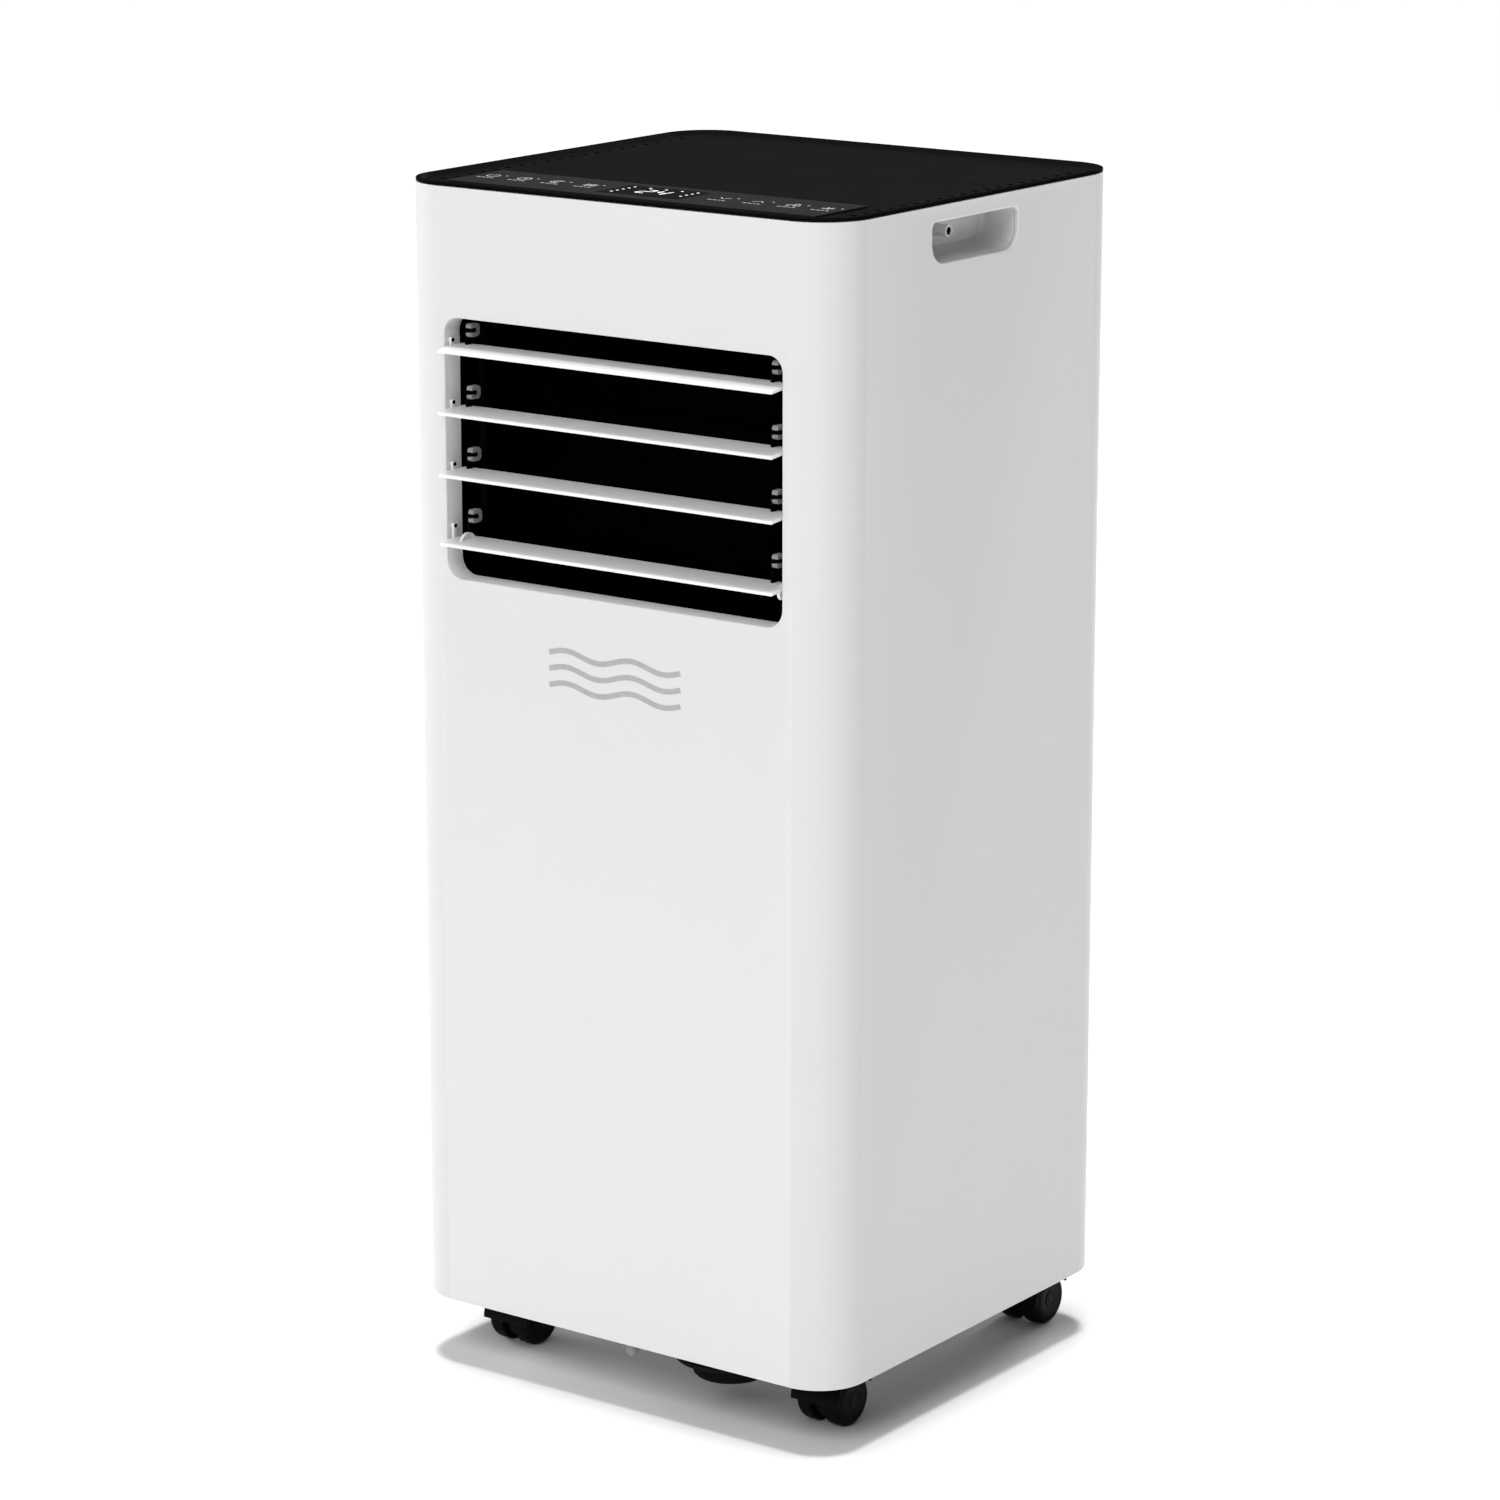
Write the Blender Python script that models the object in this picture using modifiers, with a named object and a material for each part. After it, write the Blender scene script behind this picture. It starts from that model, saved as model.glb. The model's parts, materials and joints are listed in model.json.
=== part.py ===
"""Portable air conditioner: a tall wheeled cabinet with a louvred outlet, as its separate pieces.

Metres, +Z up. The origin is on the floor under the middle of the cabinet and the front faces -Y.
"""

import math

import bmesh
import bpy
from mathutils import Matrix, Vector

# Cabinet
WIDTH = 0.298
DEPTH = 0.280
CORNER = 0.0294
WALL = 0.0025
SHELL_BOTTOM = 0.039
SHELL_TOP = 0.685
GAP = 0.0003
SLACK = 0.0004
FRONT = -DEPTH / 2
REAR = DEPTH / 2
RETURN_X = WIDTH / 2 - CORNER - 0.006
PANEL_TOP = SHELL_TOP - 0.0015

# Top cover and controls
LIP_TOP = 0.6872
LIP_WIDTH = 0.003
SKIRT_BOTTOM = 0.678
COVER_UNDERSIDE = 0.6825
STRIP_X = 0.124
STRIP_FRONT, STRIP_REAR = -0.1244, -0.075
STRIP_SEAT = 0.6842
STRIP_TOP = 0.6862
WINDOW_X = 0.0276
WINDOW_FRONT, WINDOW_REAR = -0.1152, -0.083
WINDOW_RECESS = 0.0009
BOARD_X = 0.105
BOARD_FRONT, BOARD_REAR = -0.122, -0.080
BOARD_LOW, BOARD_HIGH = 0.6790, 0.6806

# Handle recesses, one in each side
HANDLE_FRONT, HANDLE_REAR = -0.0503, 0.0330
HANDLE_LOW, HANDLE_HIGH = 0.653, 0.676
HANDLE_DEPTH = 0.024
CUP_WALL = 0.0016

# Outlet, its blades and the links that turn them together
OUTLET_X = 0.1146
OUTLET_LOW, OUTLET_HIGH = 0.4665, 0.6129
OUTLET_CORNER = 0.0125
REVEAL_BACK = -0.1265
REVEAL_WALL = 0.0022
DUCT_BACK = -0.0750
DUCT_WINDOW_X = 0.085
DUCT_WINDOW_LOW, DUCT_WINDOW_HIGH = 0.560, 0.606
PIVOT_Y = -0.1350
PIVOT_TOP_Z = 0.5996
PIVOT_PITCH = 0.0348
PIVOT_RADIUS = 0.0012
PIVOT_HOLE = 0.0013
BLADE_X = 0.1140
BLADE_FRONT, BLADE_REAR = -0.1479, -0.1238
BLADE_THICK = 0.0018
BLADE_CROWN = 0.0006
BLADE_TILT = math.radians(2.0)
BLADE_BELOW_PIVOT = (0.0044, 0.0044, 0.0044, 0.0083)
EAR_THICK = 0.0014
EAR_RADIUS = 0.0025
LUG_RADIUS = 0.0020
BOSS_HEIGHT = 0.0004
CRANK_Y, CRANK_Z = 0.0063, 0.0055
CRANK_RADIUS = 0.0011
CLIP_X = 0.104
CLIP_HALF = 0.00175
CLIP_OUTER, CLIP_INNER = 0.0039, 0.0016
CLIP_MOUTH = 130
ARM_HALF = 0.0018
BAR_FRONT, BAR_BACK = -0.1210, -0.1185
DISC_X = (-0.104, 0.1102)
DISC_Y = (-0.1350, -0.1330)
DISC_BELOW_PIVOT = (0.0094, 0.0102)
DISC_RADIUS = (0.0065, 0.0042)
DISC_THICK = 0.0018
MOTOR_OFFSET = 0.0085
MOTOR_RADIUS = 0.009
MOTOR_LENGTH = 0.010

# Base, casters and what hangs under the base
PAN_BOTTOM, PAN_FLOOR, PAN_RIM = 0.0405, 0.0430, 0.062
PAN_X = WIDTH / 2 - WALL - GAP
PAN_FRONT, PAN_REAR = FRONT + WALL + GAP, 0.1338
WHEEL_RADIUS = 0.0155
WHEEL_WIDTH = 0.0115
WHEEL_OFFSET = 0.010
AXLE_RADIUS, WHEEL_BORE = 0.0025, 0.0027
CASTER_X = 0.1105
AXLE_Y = (-0.0844, 0.1188)
TRAIL = 0.012
STEM_RADIUS, STEM_HOLE = 0.0040, 0.00415
STEM_TOP = 0.052
HOOD_OUTER, HOOD_INNER = 0.0180, 0.0163
NECK_RADIUS, NECK_LOW = 0.0085, 0.0265
SUMP_CENTRE = (0.0545, -0.104)
SUMP_RADIUS, SUMP_FLANGE, SUMP_BOTTOM = 0.0220, 0.0320, 0.0223
NUB_CENTRE = (0.0, -0.1245)

# Rear panel
PANEL_INNER = 0.1345
FLANGE_X = 0.119
GRILLE_X = 0.098
GRILLE_GAP = 0.0006
CUT_FRONT, CUT_BACK = 0.12, 0.16
FILTER_LOW, FILTER_HIGH = 0.477, 0.653
LOWER_GRILLE_LOW, LOWER_GRILLE_HIGH = 0.100, 0.275
SLOT_PITCH = 0.0145
SLOT_HEIGHT = 0.0065
PORT_Z = 0.372
PORT_RADIUS = 0.062
SLEEVE_WALL = 0.0045
COLLAR_FLANGE = 0.008
COLLAR_END = 0.1479
DRAIN_X, DRAIN_Z = 0.088, 0.300
LOW_DRAIN_Z = 0.056
GLAND_X, GLAND_Z = -0.088, 0.075
PLUG_HOLE, GLAND_HOLE = 0.0066, 0.0082

# Works inside the cabinet
DECK_LOW, DECK_HIGH = 0.440, 0.4425
UPPER_FAN_Z = 0.545
UPPER_FAN_RADIUS = 0.072
LOWER_FAN_RADIUS = 0.055
COMPRESSOR_X, COMPRESSOR_Y = -0.050, -0.040
COMPRESSOR_RADIUS = 0.052
COMPRESSOR_FOOT_RADIUS = 0.058
ACCUMULATOR_X = 0.028
COIL_X = 0.106
COIL_FRONT, COIL_BACK = 0.075, 0.125
EVAPORATOR_LOW, EVAPORATOR_HIGH = 0.466, 0.655
CONDENSER_LOW, CONDENSER_HIGH = 0.068, 0.290
SCROLL_FRONT, SCROLL_BACK = -0.0745, 0.040
SCROLL_BASE, SCROLL_GROWTH = 0.079, 0.016
SHEET = 0.002
SLINGER_X, SLINGER_Z = 0.085, 0.074
FLOAT_X, FLOAT_Y = -0.125, -0.030

PARTS = "portable_air_conditioner"
CUTTERS = "cutters"


def clear_scene():
    for obj in list(bpy.data.objects):
        bpy.data.objects.remove(obj, do_unlink=True)


def collection(name, hidden=False):
    made = bpy.data.collections.new(name)
    bpy.context.scene.collection.children.link(made)
    made.hide_render = hidden
    return made


def material(name, color, roughness, metallic=0.0, alpha=1.0):
    made = bpy.data.materials.new(name)
    made.use_nodes = True
    shader = made.node_tree.nodes["Principled BSDF"]
    shader.inputs["Base Color"].default_value = (*color, 1.0)
    shader.inputs["Roughness"].default_value = roughness
    shader.inputs["Metallic"].default_value = metallic
    shader.inputs["Alpha"].default_value = alpha
    made.diffuse_color = (*color, alpha)
    return made


# Shapes. Each helper returns an object in the cutters collection; part() turns one into a named piece.


def helper(mesh):
    obj = bpy.data.objects.new("shape", mesh)
    bpy.data.collections[CUTTERS].objects.link(obj)
    obj.hide_render = True
    obj.display_type = "WIRE"
    return obj


def block(low, high, bevel=0.0):
    """A box between two corners, with its edges rounded off by bevel."""
    size = Vector(high) - Vector(low)
    centre = (Vector(high) + Vector(low)) / 2
    mesh = bpy.data.meshes.new("block")
    bm = bmesh.new()
    bmesh.ops.create_cube(bm, size=1.0)
    bmesh.ops.scale(bm, vec=size, verts=bm.verts)
    bmesh.ops.translate(bm, vec=centre, verts=bm.verts)
    bm.to_mesh(mesh)
    bm.free()
    obj = helper(mesh)
    if bevel:
        rounding = obj.modifiers.new("edges", "BEVEL")
        rounding.width = bevel
        rounding.segments = 2
    return obj


def blocks(boxes):
    """Separate boxes in one mesh, for a row of slots."""
    mesh = bpy.data.meshes.new("blocks")
    bm = bmesh.new()
    for low, high in boxes:
        size = Vector(high) - Vector(low)
        centre = (Vector(high) + Vector(low)) / 2
        made = bmesh.ops.create_cube(bm, size=1.0)
        bmesh.ops.scale(bm, vec=size, verts=made["verts"])
        bmesh.ops.translate(bm, vec=centre, verts=made["verts"])
    bm.to_mesh(mesh)
    bm.free()
    return helper(mesh)


# Quarter turns that carry +Z to each axis, exact so that flat ends stay flat.
AXIS_TURN = {
    "X": Matrix(((0, 0, 1, 0), (0, 1, 0, 0), (-1, 0, 0, 0), (0, 0, 0, 1))),
    "Y": Matrix(((1, 0, 0, 0), (0, 0, 1, 0), (0, -1, 0, 0), (0, 0, 0, 1))),
    "Z": Matrix.Identity(4),
}


def placed(mesh, axis, centre):
    """Turns a mesh made round +Z to run along axis, and moves it to centre."""
    mesh.transform(Matrix.Translation(centre) @ AXIS_TURN[axis])
    return helper(mesh)


def rod(radius, start, length, axis, sides=16):
    """A cylinder from start along axis."""
    mesh = bpy.data.meshes.new("rod")
    bm = bmesh.new()
    bmesh.ops.create_cone(
        bm, cap_ends=True, segments=sides, radius1=radius, radius2=radius, depth=length
    )
    bmesh.ops.translate(bm, vec=(0, 0, length / 2), verts=bm.verts)
    bm.to_mesh(mesh)
    bm.free()
    return placed(mesh, axis, start)


def turned(profile, axis, centre, steps=24):
    """A turned solid from (radius, height) down its outer side, closed if it starts off the axis."""
    mesh = bpy.data.meshes.new("profile")
    bm = bmesh.new()
    verts = [bm.verts.new((radius, 0, height)) for radius, height in profile]
    for a, b in zip(verts, verts[1:]):
        bm.edges.new((a, b))
    if profile[0][0] > 0:
        bm.edges.new((verts[-1], verts[0]))
    bm.to_mesh(mesh)
    bm.free()
    obj = helper(mesh)
    screw = obj.modifiers.new("turn", "SCREW")
    screw.axis = "Z"
    screw.steps = steps
    screw.render_steps = steps
    screw.use_merge_vertices = True
    screw.merge_threshold = 0.00001
    flat = baked(obj)
    return placed(flat, axis, centre)


def baked(obj):
    """The evaluated mesh of a helper, which is then removed."""
    bpy.context.view_layer.update()
    graph = bpy.context.evaluated_depsgraph_get()
    mesh = bpy.data.meshes.new_from_object(obj.evaluated_get(graph))
    mesh.transform(obj.matrix_world)
    bpy.data.objects.remove(obj, do_unlink=True)
    bm = bmesh.new()
    bm.from_mesh(mesh)
    bmesh.ops.remove_doubles(bm, verts=bm.verts, dist=0.000001)
    bm.to_mesh(mesh)
    bm.free()
    return mesh


def arc(centre, radius, start, end, steps):
    """Points on an arc, angles in degrees."""
    angles = [math.radians(start + (end - start) * i / steps) for i in range(steps + 1)]
    return [(centre[0] + radius * math.cos(a), centre[1] + radius * math.sin(a)) for a in angles]


def rounded(low, high, radii, steps=6):
    """A rectangle's outline, anticlockwise from its lower left, with one corner radius or four."""
    if isinstance(radii, float):
        radii = (radii,) * 4
    corners = (
        (low[0], low[1], 1, 1, 180),
        (high[0], low[1], -1, 1, 270),
        (high[0], high[1], -1, -1, 0),
        (low[0], high[1], 1, -1, 90),
    )
    points = []
    for (x, y, side_x, side_y, start), radius in zip(corners, radii):
        centre = (x + side_x * radius, y + side_y * radius)
        points += arc(centre, radius, start, start + 90, steps)
    return points


# How an outline's two directions lie for a prism that runs along each axis.
OUTLINE_FRAME = {
    "Z": Matrix(((1, 0, 0, 0), (0, 1, 0, 0), (0, 0, 1, 0), (0, 0, 0, 1))),
    "Y": Matrix(((1, 0, 0, 0), (0, 0, -1, 0), (0, 1, 0, 0), (0, 0, 0, 1))),
    "X": Matrix(((0, 0, 1, 0), (1, 0, 0, 0), (0, 1, 0, 0), (0, 0, 0, 1))),
}


def prism(outline, axis, start, end):
    """A flat outline given thickness from start to end along axis."""
    curve = bpy.data.curves.new("outline", "CURVE")
    curve.dimensions = "2D"
    curve.fill_mode = "BOTH"
    curve.extrude = abs(end - start) / 2
    spline = curve.splines.new("POLY")
    spline.points.add(len(outline) - 1)
    for point, (x, y) in zip(spline.points, outline):
        point.co = (x, y, 0, 1)
    spline.use_cyclic_u = True
    mesh = baked(helper(curve))
    frame = OUTLINE_FRAME[axis]
    along = Vector([abs(step) for step in frame @ Vector((0, 0, 1))])
    mesh.transform(Matrix.Translation(along * (start + end) / 2) @ frame)
    return helper(mesh)


def tube(points, radius):
    """A round pipe through points, with its bends rounded."""
    curve = bpy.data.curves.new("pipe", "CURVE")
    curve.dimensions = "3D"
    curve.bevel_depth = radius
    curve.bevel_resolution = 2
    curve.use_fill_caps = True
    spline = curve.splines.new("POLY")
    path = bent(points, 4 * radius)
    spline.points.add(len(path) - 1)
    for point, place in zip(spline.points, path):
        point.co = (*place, 1)
    return helper(baked(helper(curve)))


def bent(points, reach, steps=4):
    """A path with each inner corner replaced by a curve that starts up to reach before it."""
    points = [Vector(point) for point in points]
    path = [points[0]]
    for before, corner, after in zip(points, points[1:], points[2:]):
        room = min(reach, 0.45 * (before - corner).length, 0.45 * (after - corner).length)
        start = corner + (before - corner).normalized() * room
        end = corner + (after - corner).normalized() * room
        for i in range(steps + 1):
            t = i / steps
            path.append(start * (1 - t) ** 2 + corner * 2 * t * (1 - t) + end * t * t)
    return path + [points[-1]]


def cut(obj, *cutters):
    return combined(obj, "DIFFERENCE", cutters)


def joined(obj, *others):
    return combined(obj, "UNION", others)


def combined(obj, operation, others):
    for other in others:
        step = obj.modifiers.new(operation.lower(), "BOOLEAN")
        step.operation = operation
        step.solver = "EXACT"
        step.object = other
    return obj


def part(name, obj, look, angle=40):
    """Makes a shape a visible piece of the object, with its rounds shaded smooth."""
    bpy.data.collections[CUTTERS].objects.unlink(obj)
    bpy.data.collections[PARTS].objects.link(obj)
    obj.name = name
    obj.hide_render = False
    obj.display_type = "TEXTURED"
    obj.data.materials.clear()
    obj.data.materials.append(look)
    obj.data.shade_smooth()
    obj.data.set_sharp_from_angle(angle=math.radians(angle))
    return obj


def shared(name, mesh, place, look):
    """One copy of a repeated piece, whose origin is on its own axis."""
    obj = helper(mesh)
    obj.location = place
    return part(name, obj, look)


# Cabinet


def inset(distance):
    """The cabinet's outline, moved in by distance."""
    low = (-WIDTH / 2 + distance, FRONT + distance)
    high = (WIDTH / 2 - distance, REAR - distance)
    return rounded(low, high, CORNER - distance, 6)


def casing_wall():
    """The wrapped sheet that makes the front, both sides and the rear corners, given its thickness."""
    right = arc((WIDTH / 2 - CORNER, FRONT + CORNER), CORNER, 270, 360, 6)
    right += arc((WIDTH / 2 - CORNER, REAR - CORNER), CORNER, 0, 90, 6)
    right.append((RETURN_X, REAR))
    path = [(-x, y) for x, y in reversed(right)] + right
    mesh = bpy.data.meshes.new("casing")
    bm = bmesh.new()
    verts = [bm.verts.new((x, y, SHELL_BOTTOM)) for x, y in path]
    edges = [bm.edges.new(pair) for pair in zip(verts, verts[1:])]
    grown = bmesh.ops.extrude_edge_only(bm, edges=edges)
    raised = [item for item in grown["geom"] if isinstance(item, bmesh.types.BMVert)]
    bmesh.ops.translate(bm, vec=(0, 0, SHELL_TOP - SHELL_BOTTOM), verts=raised)
    inward = [face for face in bm.faces if face.normal.dot(face.calc_center_median()) < 0]
    bmesh.ops.reverse_faces(bm, faces=inward)
    bm.to_mesh(mesh)
    bm.free()
    obj = helper(mesh)
    sheet = obj.modifiers.new("wall", "SOLIDIFY")
    sheet.thickness = WALL
    sheet.offset = -1
    sheet.use_even_offset = True
    return obj


def outlet_outline(grow=0.0):
    low = (-OUTLET_X - grow, OUTLET_LOW - grow)
    high = (OUTLET_X + grow, OUTLET_HIGH + grow)
    return rounded(low, high, OUTLET_CORNER + grow)


def handle_outline(grow=0.0):
    low = (HANDLE_FRONT - grow, HANDLE_LOW - grow)
    high = (HANDLE_REAR + grow, HANDLE_HIGH + grow)
    return rounded(low, high, (0.012 + grow, 0.012 + grow, 0.004 + grow, 0.004 + grow), 4)


def pivots():
    """The four blades' pivots, top first, as (y, z)."""
    return [(PIVOT_Y, PIVOT_TOP_Z - PIVOT_PITCH * i) for i in range(4)]


def front_casing(look):
    casing = casing_wall()
    joined(casing, prism(outlet_outline(REVEAL_WALL), "Y", FRONT + 0.0015, REVEAL_BACK))
    cut(casing, prism(outlet_outline(), "Y", FRONT - 0.01, REVEAL_BACK + 0.01))
    reach = OUTLET_X + 0.012
    for y, z in pivots():
        cut(casing, rod(PIVOT_HOLE, (-reach, y, z), 2 * reach, "X", 12))
    cut(casing, prism(handle_outline(), "X", -WIDTH, WIDTH))
    part("front_casing", casing, look)


def slots(low_z, high_z, back, front):
    """Two columns of level slots for a grille."""
    rows = int((high_z - low_z) / SLOT_PITCH)
    first = (low_z + high_z - (rows - 1) * SLOT_PITCH) / 2
    boxes = []
    for row in range(rows):
        z = first + row * SLOT_PITCH
        for side in (-1, 1):
            inner, outer = side * 0.004, side * (GRILLE_X - 0.006)
            low = (min(inner, outer), back, z - SLOT_HEIGHT / 2)
            high = (max(inner, outer), front, z + SLOT_HEIGHT / 2)
            boxes.append((low, high))
    return blocks(boxes)


def rear_casing(look):
    """The rear panel, with a flange that lies behind the casing's returns."""
    edge = RETURN_X - SLACK
    panel = block((-edge, REAR - WALL, SHELL_BOTTOM + 0.0005), (edge, REAR, PANEL_TOP))
    flange = block((-FLANGE_X, PANEL_INNER, 0.064), (FLANGE_X, REAR - WALL - SLACK, 0.675))
    spine = block((-edge, PANEL_INNER + 0.0005, 0.070), (edge, REAR - 0.001, 0.670))
    joined(panel, flange, spine)
    low = (-GRILLE_X - GRILLE_GAP, FILTER_LOW - GRILLE_GAP)
    high = (GRILLE_X + GRILLE_GAP, FILTER_HIGH + GRILLE_GAP)
    cut(panel, prism(rounded(low, high, 0.008), "Y", CUT_FRONT, CUT_BACK))
    cut(panel, slots(LOWER_GRILLE_LOW, LOWER_GRILLE_HIGH, CUT_FRONT, CUT_BACK))
    through = CUT_BACK - CUT_FRONT
    cut(panel, rod(PORT_RADIUS + SLEEVE_WALL + 0.001, (0, CUT_FRONT, PORT_Z), through, "Y", 40))
    cut(panel, rod(PLUG_HOLE, (DRAIN_X, CUT_FRONT, DRAIN_Z), through, "Y"))
    cut(panel, rod(PLUG_HOLE, (0, CUT_FRONT, LOW_DRAIN_Z), through, "Y"))
    cut(panel, rod(GLAND_HOLE, (GLAND_X, CUT_FRONT, GLAND_Z), through, "Y"))
    part("rear_casing", panel, look)


def top_cover(look):
    """A shallow tray with a raised lip and a skirt inside the casing."""
    cover = prism(inset(0.0001), "Z", SHELL_TOP + GAP, LIP_TOP)
    joined(cover, prism(inset(WALL + SLACK), "Z", SKIRT_BOTTOM, SHELL_TOP + 0.001))
    cut(cover, prism(inset(LIP_WIDTH), "Z", SHELL_TOP, LIP_TOP + 0.01))
    cut(cover, prism(inset(WALL + 0.0025), "Z", SKIRT_BOTTOM - 0.01, COVER_UNDERSIDE))
    low = (-STRIP_X - GAP, STRIP_FRONT - GAP, STRIP_SEAT)
    high = (STRIP_X + GAP, STRIP_REAR + GAP, LIP_TOP + 0.01)
    cut(cover, block(low, high))
    part("top_cover", cover, look)


def controls(strip_look, glass_look, board_look):
    """The touch strip, the display window let into it and the board below them."""
    strip = block((-STRIP_X, STRIP_FRONT, STRIP_SEAT + GAP), (STRIP_X, STRIP_REAR, STRIP_TOP))
    floor = STRIP_TOP - WINDOW_RECESS
    cut(strip, block((-WINDOW_X, WINDOW_FRONT, floor), (WINDOW_X, WINDOW_REAR, STRIP_TOP + 0.01)))
    part("control_strip", strip, strip_look)
    low = (-WINDOW_X + GAP, WINDOW_FRONT + GAP, floor + GAP)
    part("display_window", block(low, (WINDOW_X - GAP, WINDOW_REAR - GAP, STRIP_TOP)), glass_look)
    board = block((-BOARD_X, BOARD_FRONT, BOARD_LOW), (BOARD_X, BOARD_REAR, BOARD_HIGH))
    part("control_board", board, board_look)


def handle_cups(look):
    """The moulded finger pockets behind the holes in the two sides."""
    for side, name in ((-1, "left"), (1, "right")):
        mouth = side * (WIDTH / 2 - WALL - GAP)
        back = side * (WIDTH / 2 - HANDLE_DEPTH)
        cup = prism(handle_outline(CUP_WALL), "X", mouth, back - side * CUP_WALL)
        cut(cup, prism(handle_outline(), "X", side * WIDTH, back))
        part(f"handle_cup_{name}", cup, look)


# Outlet


def outlet_duct(look):
    """The black box behind the outlet, open at the front and through a window into the blower."""
    front = REVEAL_BACK + GAP
    duct = prism(outlet_outline(REVEAL_WALL), "Y", front, DUCT_BACK)
    cut(duct, prism(outlet_outline(), "Y", front - 0.01, DUCT_BACK - SHEET))
    low = (-DUCT_WINDOW_X, DUCT_BACK - 0.01, DUCT_WINDOW_LOW)
    high = (DUCT_WINDOW_X, DUCT_BACK + 0.01, DUCT_WINDOW_HIGH)
    cut(duct, block(low, high))
    part("outlet_duct", duct, look)


def tab(centre, radius, foot):
    """An upright tab's outline: round about centre, and straight down to foot."""
    return arc(centre, radius, 0, 180, 6) + [(centre[0] - radius, foot), (centre[0] + radius, foot)]


def blade(index, look):
    """One louvre: an ear at each end carries a pivot pin, and a lug further in carries a crank pin.

    The lowest one also has a disc near each end.
    """
    y, z = pivots()[index]
    below = BLADE_BELOW_PIVOT[index]
    middle = (BLADE_FRONT + BLADE_REAR) / 2 - y
    chord = BLADE_REAR - BLADE_FRONT
    top = [(chord * (i / 4 - 0.5), BLADE_CROWN * (1 - (i / 2 - 1) ** 2)) for i in range(5)]
    section = top + [(x, v - BLADE_THICK) for x, v in reversed(top)]
    turn = Matrix.Rotation(BLADE_TILT, 2)
    outline = []
    for point in section:
        u, v = turn @ Vector(point)
        outline.append((y + middle + u, z - below + v + BLADE_THICK / 2))
    plate_end = BLADE_X - SLACK
    obj = prism(outline, "X", -plate_end, plate_end)
    crank = (y + CRANK_Y, z + CRANK_Z)
    ear = tab((y, z), EAR_RADIUS, z - below)
    lug = tab(crank, LUG_RADIUS, z - below)
    for side in (-1, 1):
        joined(obj, prism(ear, "X", side * (BLADE_X - EAR_THICK), side * BLADE_X))
        boss_end = side * (BLADE_X - EAR_THICK - BOSS_HEIGHT)
        pin_end = side * (OUTLET_X + REVEAL_WALL + SLACK)
        joined(obj, rod(PIVOT_RADIUS, (min(boss_end, pin_end), y, z), abs(pin_end - boss_end), "X", 12))
        lug_inner = CLIP_X + CLIP_HALF + SLACK
        joined(obj, prism(lug, "X", side * lug_inner, side * (lug_inner + EAR_THICK)))
        boss_end = side * (lug_inner + EAR_THICK + BOSS_HEIGHT)
        pin_end = side * (CLIP_X - CLIP_HALF - SLACK)
        joined(obj, rod(CRANK_RADIUS, (min(boss_end, pin_end), *crank), abs(boss_end - pin_end), "X", 8))
    if index == 3:
        for x, disc_y, drop, radius in zip(DISC_X, DISC_Y, DISC_BELOW_PIVOT, DISC_RADIUS):
            joined(obj, rod(radius, (x - DISC_THICK / 2, disc_y, z - drop), DISC_THICK, "X", 18))
    for step in obj.modifiers:
        step.solver = "MANIFOLD"
    part(f"louvre_blade_{index + 1}", obj, look)


def link_bar(side, name, look):
    """The upright bar that ties the blades' crank pins together, with an open clip round each pin."""
    pins = [(y + CRANK_Y, z + CRANK_Z) for y, z in pivots()]
    arm = math.degrees(math.asin(ARM_HALF / CLIP_OUTER))
    low, high = pins[-1][1] - 2 * ARM_HALF, pins[0][1] + 2 * ARM_HALF
    outline = [(BAR_BACK, low), (BAR_BACK, high), (BAR_FRONT, high)]
    for pin in pins:
        outline.append((BAR_FRONT, pin[1] + ARM_HALF))
        outline += arc(pin, CLIP_OUTER, arm, CLIP_MOUTH, 6)
        outline += arc(pin, CLIP_INNER, CLIP_MOUTH, -CLIP_MOUTH, 8)
        outline += arc(pin, CLIP_OUTER, -CLIP_MOUTH, -arm, 6)
        outline.append((BAR_FRONT, pin[1] - ARM_HALF))
    outline.append((BAR_FRONT, low))
    x = side * CLIP_X
    part(f"link_bar_{name}", prism(outline, "X", x - CLIP_HALF, x + CLIP_HALF), look)


def swing_motor(look):
    """The small geared step motor whose offset shaft meets the lowest blade's right-hand pivot."""
    y, z = pivots()[3]
    inner = OUTLET_X + REVEAL_WALL + 0.0012
    middle = y + MOTOR_OFFSET
    body = rod(MOTOR_RADIUS, (inner + 0.0005, middle, z), MOTOR_LENGTH, "X", 20)
    outline = rounded((middle - 0.003, z - 0.014), (middle + 0.003, z + 0.014), 0.0029, 3)
    joined(body, prism(outline, "X", inner, inner + 0.001))
    part("swing_motor", body, look)


# Base and casters


def pan_outline(distance):
    low = (-PAN_X + distance, PAN_FRONT + distance)
    high = (PAN_X - distance, PAN_REAR - distance)
    return rounded(low, high, CORNER - WALL - GAP - distance, 6)


def stems():
    """The four swivel axes, as (name, x, y): each stem stands ahead of its axle."""
    ends = (("front", AXLE_Y[0]), ("rear", AXLE_Y[1]))
    sides = (("left", -CASTER_X), ("right", CASTER_X))
    return [(f"{end}_{side}", x, y - TRAIL) for end, y in ends for side, x in sides]


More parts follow.
